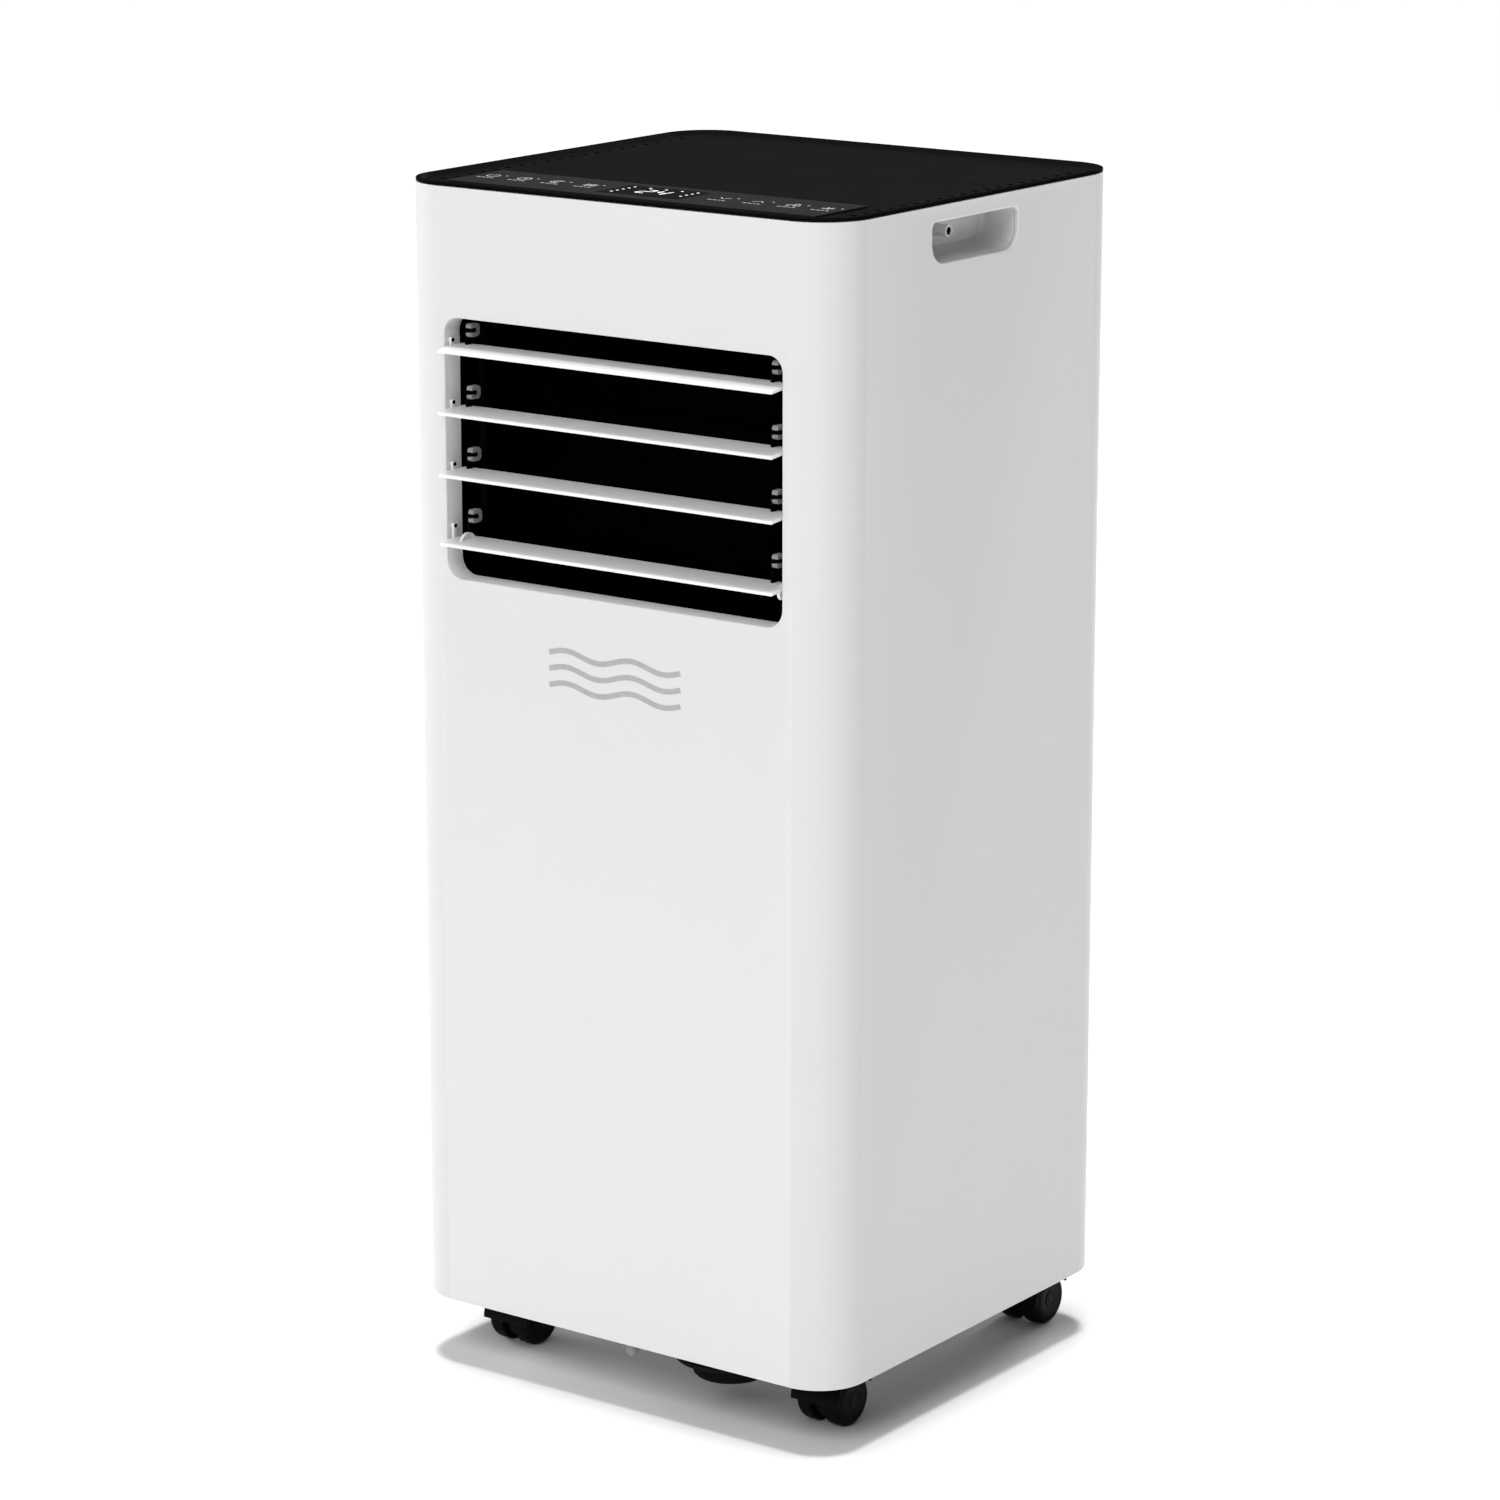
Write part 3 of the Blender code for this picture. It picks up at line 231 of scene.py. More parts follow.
def display_light():
    look = surface("display_light", (0.80, 0.84, 0.86), 0.40, 0.5, (0.002, 0.08))
    look.shader.inputs["Emission Color"].default_value = (0.92, 0.96, 1.0, 1)
    look.shader.inputs["Emission Strength"].default_value = 0.75
    return look.made


def clear_plastic():
    steps = (0.004, 0.1), None, (0.0008, 0.00001)
    look = surface("clear_plastic", (0.42, 0.42, 0.41), 0.28, 0.5, *steps)
    look.shader.inputs["Transmission Weight"].default_value = 0.55
    return look.made


def galvanised_steel():
    look = Look("galvanised_steel", (0.55, 0.56, 0.58), 0.38, metallic=0.9)
    spangle = look.cells(0.006)
    shade = look.spread(spangle.outputs["Color"], 0.28, 0.50, 0.0, 1.0)
    look.link(shade, look.shader.inputs["Roughness"])
    return look.mottle(0.007, 0.25).bump(spangle.outputs["Distance"], 0.00002).made


def aluminium_fins():
    look = Look("aluminium_fins", (0.72, 0.73, 0.75), 0.36, metallic=0.9)
    return look.mottle(0.03, 0.2).uneven(0.01, 0.06).bump(look.wave(0.0018, "X"), 0.0005).made


def copper_pipe():
    look = Look("copper_pipe", (0.70, 0.33, 0.18), 0.30, metallic=1.0)
    return look.mottle(0.02, (0.42, 0.20, 0.12)).uneven(0.01, 0.08).grain(0.003, 0.00002).made


def circuit_board():
    look = Look("circuit_board", (0.012, 0.12, 0.05), 0.40).mottle(0.003, (0.02, 0.19, 0.08))
    return look.bump(look.wave(0.002, "DIAGONAL", "SAW"), 0.00004).made


def filter_mesh():
    """A woven mesh, pale where the threads are."""
    look = Look("filter_mesh", (0.055, 0.056, 0.060), 0.72)
    across, up = look.wave(0.0016, "X"), look.wave(0.0016, "Z")
    crossing = look.node("ShaderNodeMath", operation="MAXIMUM")
    look.link(across, crossing.inputs[0])
    look.link(up, crossing.inputs[1])
    weave = crossing.outputs["Value"]
    threads = look.spread(weave, 0, 1, 0.6, 1.0)
    look.blend((0.012, 0.012, 0.013), (0.105, 0.107, 0.112), threads)
    return look.bump(weave, 0.0004).made


# Each row has a name, colour, roughness and specular level, and then the steps of its surface.
WHITE = (0.38, 0.42, (0.11, 0.012), (0.05, 0.02), (0.0007, 0.000008), 0.3)
BLACK = ((0.09, 0.08), (0.03, 0.03), (0.0006, 0.00002), 0.10)
SURFACES = (
    ("white_plastic", (0.622, 0.624, 0.627), *WHITE),
    # A lighter copy of the white plastic: painted light on the reveal's inner faces and on the
    # blades.
    ("painted_light_white", (0.77, 0.772, 0.775), *WHITE),
    ("black_plastic", (0.0066, 0.0066, 0.0069), 0.50, 0.006, *BLACK),
    # A darker copy of the black plastic: painted shade on the tray's rim and vents and in front of
    # the touch strip.
    ("painted_shade_black", (0.0022, 0.0022, 0.0023), 0.45, 0.003, *BLACK),
    ("caster_plastic", (0.0030, 0.0030, 0.0032), 0.45, 0.05, *BLACK),
    ("caster_tread", (0.0032, 0.0032, 0.0034), 0.50, 0.05,
     (0.006, (0.0050, 0.0050, 0.0050)), (0.004, 0.06), (0.0006, 0.00002)),
    ("strip_panel", (0.017, 0.017, 0.018), 0.30, 0.012,
     (0.05, 0.08), (0.02, 0.03), (0.0009, 0.000004)),
    ("display_glass", (0.0006, 0.0006, 0.0007), 0.12, 0.003, (0.02, 0.3), (0.012, 0.03)),
    ("link_plastic", (0.27, 0.27, 0.275), 0.52, 0.35,
     (0.004, 0.18), (0.004, 0.05), (0.0005, 0.00003)),
    ("painted_steel", (0.016, 0.016, 0.018), 0.38, 0.5,
     (0.04, 0.2), (0.02, 0.06), (0.0016, 0.00004), 0.4),
    ("rubber", (0.020, 0.020, 0.021), 0.78, 0.25,
     (0.01, (0.035, 0.034, 0.033)), None, (0.0005, 0.00004)),
    # Near-black with no sheen: painted shade on the CAD nodes deep inside the outlet.
    ("painted_shade_interior", (0.0007, 0.0007, 0.0007), 0.95, 0.0, (0.03, 0.3), None, (0.001, 0.00003)),
    # Darker than the black plastic: dark parts with painted shade, in the outlet's gaps and the
    # handle's screw holes.
    ("black_with_painted_shade", (0.0010, 0.0010, 0.0010), 0.85, 0.03, (0.02, 0.3), None, (0.0008, 0.00002)),
    ("symbol_print", (0.55, 0.55, 0.56), 0.55, 0.3, (0.0012, 0.25), None, (0.0003, 0.000004)),
    ("emblem_print", (0.37, 0.375, 0.38), 0.35, 0.5, (0.003, 0.1), None, (0.0004, 0.000004)),
)
LOOKS = {row[0]: surface(*row).made for row in SURFACES}
SPECIAL = (display_light, clear_plastic, galvanised_steel, aluminium_fins, copper_pipe)
for make in (*SPECIAL, circuit_board, filter_mesh):
    LOOKS[make.__name__] = make()


# Shapes


def placed(name, data):
    """A new object in the scene."""
    obj = bpy.data.objects.new(name, data)
    bpy.context.scene.collection.objects.link(obj)
    return obj


def new_object(name, bm):
    """An object from a bmesh, which is then freed."""
    bmesh.ops.recalc_face_normals(bm, faces=bm.faces)
    mesh = bpy.data.meshes.new(name)
    bm.to_mesh(mesh)
    bm.free()
    return placed(name, mesh)


def arc(centre, radius, start, end, steps):
    """Points on an arc, angles in degrees."""
    angles = [math.radians(start + (end - start) * i / steps) for i in range(steps + 1)]
    return [(centre[0] + radius * math.cos(a), centre[1] + radius * math.sin(a)) for a in angles]


def rounded(low, high, radii, steps=12):
    """A rectangle's outline, anticlockwise from its lower left, with one corner radius or four."""
    if isinstance(radii, float):
        radii = (radii,) * 4
    corners = (
        (low[0], low[1], 1, 1, 180),
        (high[0], low[1], -1, 1, 270),
        (high[0], high[1], -1, -1, 0),
        (low[0], high[1], 1, -1, 90),
    )
    points = []
    for (x, y, side_x, side_y, start), radius in zip(corners, radii):
        centre = (x + side_x * radius, y + side_y * radius)
        points += arc(centre, radius, start, start + 90, steps)
    return points


def plan(lo, hi, radius, steps, grow=0.0):
    """A box's outline from above, with rounded corners."""
    return rounded((lo.x - grow, lo.y - grow), (hi.x + grow, hi.y + grow), radius, steps)


# Where an outline's two directions and its depth go, for each axis that it is carried along
AXES = {
    "X": lambda u, v, w: (w, u, v),
    "Y": lambda u, v, w: (u, w, v),
    "Z": lambda u, v, w: (u, v, w),
}


def loft(name, rings, axis, closed=False):
    """A solid through rings of equal length, each (outline, depth) and carried along axis."""
    bm = bmesh.new()
    place = AXES[axis]
    rows = [[bm.verts.new(place(u, v, depth)) for u, v in outline] for outline, depth in rings]
    pairs = list(zip(rows, rows[1:]))
    if closed:
        pairs.append((rows[-1], rows[0]))
    for low, high in pairs:
        for i in range(len(low)):
            j = (i + 1) % len(low)
            bm.faces.new((low[i], low[j], high[j], high[i]))
    if not closed:
        bm.faces.new(rows[0])
        bm.faces.new(rows[-1])
    return new_object(name, bm)


def prism(name, outline, axis, start, end):
    return loft(name, [(outline, start), (outline, end)], axis)


def slab(name, low, high):
    outline = [(low[0], low[1]), (high[0], low[1]), (high[0], high[1]), (low[0], high[1])]
    return prism(name, outline, "Z", low[2], high[2])


def lathe(name, profile, axis, centre, steps=48):
    """A turned solid from (radius, place along axis), with a point where the radius is 0."""
    bm = bmesh.new()
    place = AXES[axis]
    turn = 2 * math.pi / steps
    rows = []
    for radius, along in profile:
        if radius == 0:
            rows.append([bm.verts.new(place(0, 0, along))])
        else:
            angles = [turn * i for i in range(steps)]
            circle = [(radius * math.cos(angle), radius * math.sin(angle)) for angle in angles]
            rows.append([bm.verts.new(place(u, v, along)) for u, v in circle])
    pairs = list(zip(rows, rows[1:]))
    if len(rows[0]) > 1:
        pairs.append((rows[-1], rows[0]))
    for low, high in pairs:
        for i in range(steps):
            j = (i + 1) % steps
            corners = [low[i % len(low)], low[j % len(low)]]
            corners += [high[j % len(high)], high[i % len(high)]]
            bm.faces.new(list(dict.fromkeys(corners)))
    bmesh.ops.translate(bm, vec=centre, verts=bm.verts)
    return new_object(name, bm)


def rod(name, radius, start, length, axis, steps=24):
    profile = [(0, 0), (radius, 0), (radius, length), (0, length)]
    return lathe(name, profile, axis, start, steps)


def settle(obj):
    """Turns an object's modifiers into its mesh."""
    bpy.context.view_layer.update()
    graph = bpy.context.evaluated_depsgraph_get()
    old = obj.data
    obj.data = bpy.data.meshes.new_from_object(obj.evaluated_get(graph))
    obj.modifiers.clear()
    bpy.data.meshes.remove(old)
    return obj


def combined(obj, operation, others):
    for other in others:
        step = obj.modifiers.new(operation, "BOOLEAN")
        step.operation = operation
        step.solver = "EXACT"
        step.object = other
    settle(obj)
    for other in others:
        bpy.data.objects.remove(other, do_unlink=True)
    return obj


def cut(obj, *others):
    return combined(obj, "DIFFERENCE", others)


def join(obj, *others):
    return combined(obj, "UNION", others)


def together(name, objects):
    """Several objects as one mesh, with no Boolean."""
    bm = bmesh.new()
    for obj in objects:
        bm.from_mesh(obj.data)
        bpy.data.objects.remove(obj, do_unlink=True)
    return new_object(name, bm)


def soften(obj, width, segments=3, angle=35, weld=False):
    """Rounds off the edges that are sharper than angle, in degrees."""
    if weld:
        obj.modifiers.new("weld", "WELD").merge_threshold = 0.000002
    edges = obj.modifiers.new("edges", "BEVEL")
    edges.width = width
    edges.segments = segments
    edges.limit_method = "ANGLE"
    edges.angle_limit = math.radians(angle)
    return obj


def shade(obj, angle):
    """Smooth shading, which keeps flat faces flat and edges sharper than angle crisp."""
    obj.data.shade_smooth()
    obj.data.set_sharp_from_angle(angle=math.radians(angle))
    normals = obj.modifiers.new("normals", "WEIGHTED_NORMAL")
    normals.keep_sharp = True
    normals.weight = 100


def finished(obj, name, body, look, *replaced, slot=None, angle=35):
    """Names a piece, gives it its material and makes it ride on its body."""
    obj.name = name
    obj.data.materials.clear()
    obj.data.materials.append(LOOKS[look])
    shade(obj, angle)
    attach(obj, body)
    if replaced:
        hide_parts(*replaced)
    slot or look


# Cabinet shell


def cabinet_outline(distance):
    """The cabinet's outline, drawn in by distance."""
    low = (-WIDTH / 2 + distance, FRONT + distance)
    high = (WIDTH / 2 - distance, REAR - distance)
    return rounded(low, high, CORNER - distance, 20)


def outlet_outline(grow=0.0):
    low = (-OUTLET_X - grow, OUTLET_LOW - grow)
    high = (OUTLET_X + grow, OUTLET_HIGH + grow)
    return rounded(low, high, tuple(radius + grow for radius in OUTLET_CORNERS))


def handle_outline(grow=0.0):
    """The handle opening, or the pocket behind it: its foot is rounder than its top."""
    low = (HANDLE_FRONT - grow, HANDLE_LOW - grow)
    high = (HANDLE_REAR + grow, HANDLE_HIGH + grow)
    foot = min(0.012, (high[1] - low[1]) * 0.6) + grow
    top = 0.004 + grow
    return rounded(low, high, (foot, foot, top, top))


def flared(name, outline, axis, face, inward, radius, reach):
    """A cutter that opens out at face, so that the hole it leaves has a rounded rim."""
    rings = [(outline(radius), face - inward * 0.01)]
    for i in range(7):
        angle = math.radians(90 * i / 6)
        grown, sunk = radius * (1 - math.sin(angle)), radius * (1 - math.cos(angle))
        rings.append((outline(grown), face + inward * sunk))
    rings.append((outline(0.0), face + inward * reach))
    return loft(name, rings, axis)


def cabinet_shell():
    """The wrapped sheet, with its reveal, pivot holes and handle openings."""
    front_centre = (WIDTH / 2 - CORNER, FRONT + CORNER)
    rear_centre = (WIDTH / 2 - CORNER, REAR - CORNER)
    right = arc(front_centre, CORNER, 270, 360, 24) + arc(rear_centre, CORNER, 0, 90, 24)
    right.append((RETURN_X, REAR))
    radius = CORNER - WALL
    inner = [(RETURN_X, REAR - WALL)]
    inner += arc(rear_centre, radius, 90, 0, 24) + arc(front_centre, radius, 360, 270, 24)
    half = right + inner
    section = half + [(-x, y) for x, y in reversed(half)]
    shell = prism("shell", section, "Z", SHELL_BOTTOM, SHELL_TOP)
    settle(soften(shell, 0.0006, 3, 50))
    reveal = prism("reveal", outlet_outline(REVEAL_WALL), "Y", FRONT + 0.0015, REVEAL_BACK)
    join(shell, reveal)
    cut(shell, flared("hole", outlet_outline, "Y", FRONT, 1, 0.0007, 0.03))
    for side in (-1, 1):
        face = side * WIDTH / 2
        cut(shell, flared("hole", handle_outline, "X", face, -side, 0.0013, 0.01))
        holes = []
        for i in range(4):
            start = (min(side * 0.112, side * 0.120), PIVOT_Y, PIVOT_TOP_Z - PIVOT_PITCH * i)
            holes.append(rod("hole", 0.00132, start, 0.008, "X", 22))
        cut(shell, together("holes", holes))
    finished(shell, "cabinet_shell", "cabinet", "white_plastic", "front_casing")
    # The reveal's inner faces take the lighter copy of the white plastic: painted light.
    shell.data.materials.append(LOOKS["painted_light_white"])
    near = 0.001
    for face in shell.data.polygons:
        x, y, z = face.center
        across = abs(x) < OUTLET_X + near and FRONT + 0.0006 < y < REVEAL_BACK + near
        face.material_index = int(across and OUTLET_LOW - near < z < OUTLET_HIGH + near)


def handle_pockets():
    """The finger pockets: straight walls with a fillet at the back, a ledge and a screw boss."""
    mouth, depth, wall, fillet = WIDTH / 2 - WALL - GAP, 0.0215, 0.0014, 0.0030
    back = mouth - depth
    boss_length = BOSS_END - back
    ledge_section = [(-0.0005, 0.6569), (0.0005, 0.6573), (0.0006, 0.6577), (-0.0005, 0.6578)]
    for side, name in ((-1, "left"), (1, "right")):
        outer = [(handle_outline(wall), side * mouth)]
        inner = [(handle_outline(), side * mouth)]
        for i in range(9):
            angle = math.radians(90 * i / 8)
            drawn, along = 1 - math.cos(angle), math.sin(angle)
            inner.append((handle_outline(-fillet * drawn), side * (back + fillet * (1 - along))))
            place = side * (back + fillet - (fillet + wall) * along)
            outer.append((handle_outline(wall - (fillet + wall) * drawn), place))
        pocket = loft("pocket", outer[::-1] + inner, "X")
        outline = [(side * (back + out), z) for out, z in ledge_section]
        ledge = prism("ledge", outline, "Y", HANDLE_FRONT + 0.0065, HANDLE_REAR - 0.0065)

        def boss_rod(label, radius, start, end, length, steps):
            near = min(side * (back + start), side * (BOSS_END + end))
            return rod(label, radius, (near, BOSS_Y, BOSS_Z), length, "X", steps)

        join(pocket, ledge, boss_rod("boss", 0.0034, -0.0006, 0, boss_length + 0.0006, 40))
        cut(pocket, boss_rod("hole", 0.0023, 0.0030, 0.01, boss_length + 0.0070, 28))
        piece, node = f"handle_pocket_{name}", f"handle_cup_{name}"
        finished(pocket, piece, "cabinet", "white_plastic", node, angle=50)
        # A screw head deep in the boss's hole, near-black: its own dark colour with painted shade.
        screw = boss_rod("screw", 0.0022, 0.0028, -0.0006, boss_length - 0.0034, 28)
        finished(screw, f"handle_screw_{name}", "cabinet", "black_with_painted_shade", slot="black_plastic")


# Top cover and controls


def edge_distance(x, y):
    """How far a point lies inside the cabinet's outline."""
    past_x, past_y = abs(x) - WIDTH / 2 + CORNER, abs(y) - DEPTH / 2 + CORNER
    if past_x > 0 and past_y > 0:
        return CORNER - math.hypot(past_x, past_y)
    return CORNER - max(past_x, past_y)


def top_tray():
    """The black tray: a lip with a groove outside, sloping inner walls and side vents."""
    profile = (
        (0.0050, 0.6825), (0.0050, 0.6780), (0.0029, 0.6780), (0.0029, 0.6853),
        (0.0005, 0.6853), (0.0001, 0.6856), (0.0001, 0.6861), (0.0005, 0.6862),
        (0.0005, 0.68645), (0.0001, 0.68655), (0.0001, 0.6868), (0.0003, 0.6871),
        (0.0007, LIP_TOP), (0.0022, LIP_TOP), (0.0026, 0.6871), (0.0041, 0.6851),
        (0.0046, 0.6850),
    )
    tray = loft("tray", [(cabinet_outline(distance), z) for distance, z in profile], "Z")
    seat = plan(*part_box("control_strip"), 0.0012, 6, GAP)
    cut(tray, prism("seat", seat, "Z", 0.6842, 0.70))
    vents = []
    for side in (-1, 1):
        for i in range(20):
            x, y = side * VENT_X, -0.115 + 0.0116 * i
            low, high = (x - VENT_HALF_X, y - VENT_HALF_Y), (x + VENT_HALF_X, y + VENT_HALF_Y)
            vents.append(prism("vent", rounded(low, high, 0.0005, 4), "Z", 0.6832, 0.69))
    cut(tray, together("vents", vents))
    finished(tray, "top_tray", "cabinet", "black_plastic", "top_cover")
    # Painted shade: the rim along the edge and the vents' walls take the darker copy of the black
    # plastic.
    tray.data.materials.append(LOOKS["painted_shade_black"])
    for face in tray.data.polygons:
        x, y, z = face.center
        vent = abs(abs(x) - VENT_X) < 0.0020 and abs(y) < 0.12 and z < 0.68495
        face.material_index = int(vent or edge_distance(x, y) < 0.0027)


def bar(start, end, width, low, high):
    """A flat straight stroke from start to end."""
    start, end = Vector(start), Vector(end)
    across = (end - start).normalized().orthogonal() * width / 2
    corners = (start + across, start - across, end - across, end + across)
    return prism("bar", [tuple(corner) for corner in corners], "Z", low, high)


def stroke(points, width, low, high, closed=False):
    """A flat stroke of even width through points."""
    points = [Vector(point) for point in points]
    count = len(points)
    left, right = [], []
    for i, point in enumerate(points):
        before = points[i - 1] if i > 0 or closed else point
        after = points[(i + 1) % count] if i < count - 1 or closed else point
        across = (after - before).normalized().orthogonal() * width / 2
        left.append(tuple(point + across))
        right.append(tuple(point - across))
    if closed:
        rings = [(left, low), (right, low), (right, high), (left, high)]
        return loft("stroke", rings, "Z", closed=True)
    return prism("stroke", left + right[::-1], "Z", low, high)


def ring(centre, radius, width, low, high, start=0, end=360):
    """A flat ring, or an open arc of one, angles in degrees."""
    if end - start == 360:
        return stroke(arc(centre, radius, 0, 360, 24)[:-1], width, low, high, closed=True)
    return stroke(arc(centre, radius, start, end, 18), width, low, high)


def dot(centre, radius, low, high):
    return prism("dot", arc(centre, radius, 0, 360, 12)[:-1], "Z", low, high)


def symbol(kind, x, y, low, high):
    """One generic touch symbol, about 9 mm across."""
    made = []
    width = 0.00062

    def line(x1, y1, x2, y2):
        made.append(bar((x + x1, y + y1), (x + x2, y + y2), width, low, high))

    def curve(points, closed=False):
        made.append(stroke([(x + u, y + v) for u, v in points], width, low, high, closed))

    def circle(u, v, radius, start=0, end=360):
        made.append(ring((x + u, y + v), radius, width, low, high, start, end))

    if kind == "power":
        circle(0, 0, 0.0026, 125, 415)
        line(0, 0.0006, 0, 0.0034)
    elif kind == "timer":
        circle(0, 0, 0.0027)
        curve([(0, 0.0016), (0, 0), (0.0013, -0.0008)])
    elif kind == "fan":
        circle(0, 0, 0.0006)
        for turn in (90, 210, 330):
            a = math.radians(turn)
            circle(0.0019 * math.cos(a), 0.0019 * math.sin(a), 0.0011, turn - 150, turn + 100)
    elif kind == "swing":
        for shift in (-0.0016, 0.0, 0.0016):
            wave = [math.sin(i * math.pi / 3) for i in range(13)]
            curve([(-0.0028 + 0.0056 * i / 12, shift + 0.0006 * v) for i, v in enumerate(wave)])
    elif kind == "sleep":
        outer = arc((0, 0), 0.0027, 60, 300, 16)
        inner = arc((0.0012, 0), 0.0022, 290, 70, 12)
        curve(outer + inner, closed=True)
    elif kind == "mode":
        for turn in range(0, 180, 60):
            u, v = 0.0028 * math.cos(math.radians(turn)), 0.0028 * math.sin(math.radians(turn))
            line(-u, -v, u, v)
    elif kind == "up":
        curve([(-0.0024, -0.0012), (0, 0.0014), (0.0024, -0.0012)])
    elif kind == "down":
        curve([(-0.0024, 0.0012), (0, -0.0014), (0.0024, 0.0012)])
    around = Matrix.Translation((x, y, 0))
    grown = Matrix.Diagonal((SYMBOL_SCALE, SYMBOL_SCALE, 1, 1))
    for mark in made:
        mark.data.transform(around @ grown @ around.inverted())
    return made


def control_panel():
    """The touch strip in its border, a band of painted shade, the display window, and the marks on
    both.
    """
    lo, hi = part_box("control_strip")
    window_low, window_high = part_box("display_window")
    strip = prism("strip", plan(lo, hi, 0.0010, 6), "Z", lo.z, hi.z)
    settle(soften(strip, 0.0003, 2, 50))
    seat = plan(window_low, window_high, 0.0009, 4, GAP)
    cut(strip, prism("seat", seat, "Z", window_low.z - GAP, 0.70))
    finished(strip, "touch_strip", "cabinet", "strip_panel", "control_strip")
    # The band in front of the strip is a thin dark sheet lying on the tray: painted shade.
    border = rounded((lo.x, FRONT + 0.0034), (hi.x, lo.y - 0.0007), 0.0004, 3)
    border = prism("border", border, "Z", SHELL_TOP - 0.0002, SHELL_TOP + 0.00015)
    finished(border, "strip_shade_band", "cabinet", "painted_shade_black", slot="black_plastic")

    outline = plan(window_low, window_high, 0.0007, 4)
    window = prism("window", outline, "Z", window_low.z, window_high.z)
    soften(window, 0.00012, 2, 50)
    finished(window, "display_glass_plate", "cabinet", "display_glass", "display_window")
    strip_symbols(hi.z)
    display_marks(window_high.z, (window_low.y + window_high.y) / 2)


def strip_symbols(top):
    """Eight touch symbols, each with a dashed caption and a dot beside it."""
    low, high = top - PRINT_SUNK, top + PRINT_RAISED
    kinds = ("power", "timer", "sleep", "swing", "down", "up", "fan", "mode")
    places = (-0.1132, -0.0913, -0.0684, -0.0454, 0.0454, 0.0684, 0.0913, 0.1132)
    dashes = ((-0.0058, -0.0030), (-0.0022, 0.0006), (0.0014, 0.0026), (0.0034, 0.0058))
    caption = SYMBOL_Y - 0.0078
    marks = []
    for kind, x in zip(kinds, places):
        marks += symbol(kind, x, SYMBOL_Y, low, high)
        for start, end in dashes:
            marks.append(bar((x + start, caption), (x + end, caption), 0.0011, low, high))
        marks.append(dot((x + 0.0072, SYMBOL_Y + 0.0030), 0.0008, low, high))
    marks = together("symbols", marks)
    finished(marks, "strip_symbols", "cabinet", "symbol_print", slot="strip_panel")


def display_marks(top, middle_y):
    """The lit digits with rows of dots round them."""
    low, high = top - PRINT_SUNK, top + PRINT_RAISED
    lit = []
    for digit, x in (("2", -0.0052), ("4", 0.0052)):
        lit += seven_segments(digit, x, middle_y, low, high)
    places = [(-0.0215, middle_y + 0.0112 - 0.0053 * i) for i in range(5)]
    places += [(-0.0108 + 0.0107 * i, middle_y + 0.0112) for i in range(4)]
    places += [(0.0213, middle_y + 0.0059 - 0.0053 * i) for i in range(3)]
    lit += [dot(place, 0.00085, low, high) for place in places]
    lit = together("lit", lit)
    finished(lit, "display_marks", "cabinet", "display_light", slot="display_glass")


def seven_segments(digit, x, y, low, high):
    """One lit digit, 6 mm wide and 11 mm tall, leaning a little."""
    wide, tall, width = 0.0031, 0.0060, 0.0010
    ends = {
        "top": ((-wide, tall), (wide, tall)),
        "middle": ((-wide, 0), (wide, 0)),
        "bottom": ((-wide, -tall), (wide, -tall)),
        "upper_left": ((-wide, tall), (-wide, 0)),
        "upper_right": ((wide, tall), (wide, 0)),
        "lower_left": ((-wide, 0), (-wide, -tall)),
        "lower_right": ((wide, 0), (wide, -tall)),
    }
    shown = {
        "2": ("top", "upper_right", "middle", "lower_left", "bottom"),
        "4": ("upper_left", "upper_right", "middle", "lower_right"),
    }
    made = []
    for name in shown[digit]:
        (u1, v1), (u2, v2) = ends[name]
        start = Vector((x + u1 + v1 * 0.1, y + v1))
        end = Vector((x + u2 + v2 * 0.1, y + v2))
        trim = (end - start).normalized() * 0.0004
        made.append(bar(start + trim, end - trim, width, low, high))
    return made


def emblem():
    """Three small waves under the outlet, a generic sign for moving air."""
    waves = []
    count = 48
    for shift in (-0.0092, 0.0, 0.0092):
        points = []
        for i in range(count + 1):
            x = EMBLEM_X + EMBLEM_WIDTH * (i / count - 0.5)
            points.append((x, EMBLEM_Z + shift + 0.0022 * math.sin(4 * math.pi * i / count)))
        waves.append(stroke(points, 0.0030, -0.0002, 0.0001))
    mark = together("emblem", waves)
    upright = Matrix(((1, 0, 0, 0), (0, 0, -1, FRONT), (0, 1, 0, 0), (0, 0, 0, 1)))
    mark.data.transform(upright)
    finished(mark, "emblem", "cabinet", "emblem_print", slot="link_plastic")


# Outlet


def tab(centre, radius, foot):
    """An upright tab's outline: round about centre, and straight down to foot."""
    x = centre[0]
    return arc(centre, radius, 0, 180, 14) + [(x - radius, foot), (x + radius, foot)]


def blade_section():
    """The crowned section, leaning a little, about the middle of the blade's chord."""
    chord = BLADE_REAR - BLADE_FRONT
    turn = Matrix.Rotation(math.radians(2.0), 2)
    steps = 16
    top = []
    for i in range(steps + 1):
        top.append((chord * (i / steps - 0.5), BLADE_CROWN * (1 - (2 * i / steps - 1) ** 2)))
    return [turn @ Vector(p) for p in top + [(x, v - BLADE_THICK) for x, v in reversed(top)]]


def lowest_blade_discs(blade, z):
    """Rimmed discs near the ends of the lowest blade, the left one level with its underside."""
    rim, web = 0.0009, 0.0005
    foot = z - BLADE_BELOW_PIVOT[3] - 0.0012
    for x, y, drop, radius in zip(DISC_X, DISC_Y, DISC_BELOW_PIVOT, DISC_RADIUS):
        profile = [(0.0, web), (radius - 0.0011, web), (radius - 0.0008, rim), (radius, rim)]
        profile += [(r, -along) for r, along in reversed(profile)]
        disc = lathe("disc", profile, "X", (x, y, z - drop), 56)
        if x < 0:
            low, high = (x - 0.01, y - 0.02, foot - 0.02), (x + 0.01, y + 0.02, foot)
            cut(disc, slab("foot", low, high))
        join(blade, disc)


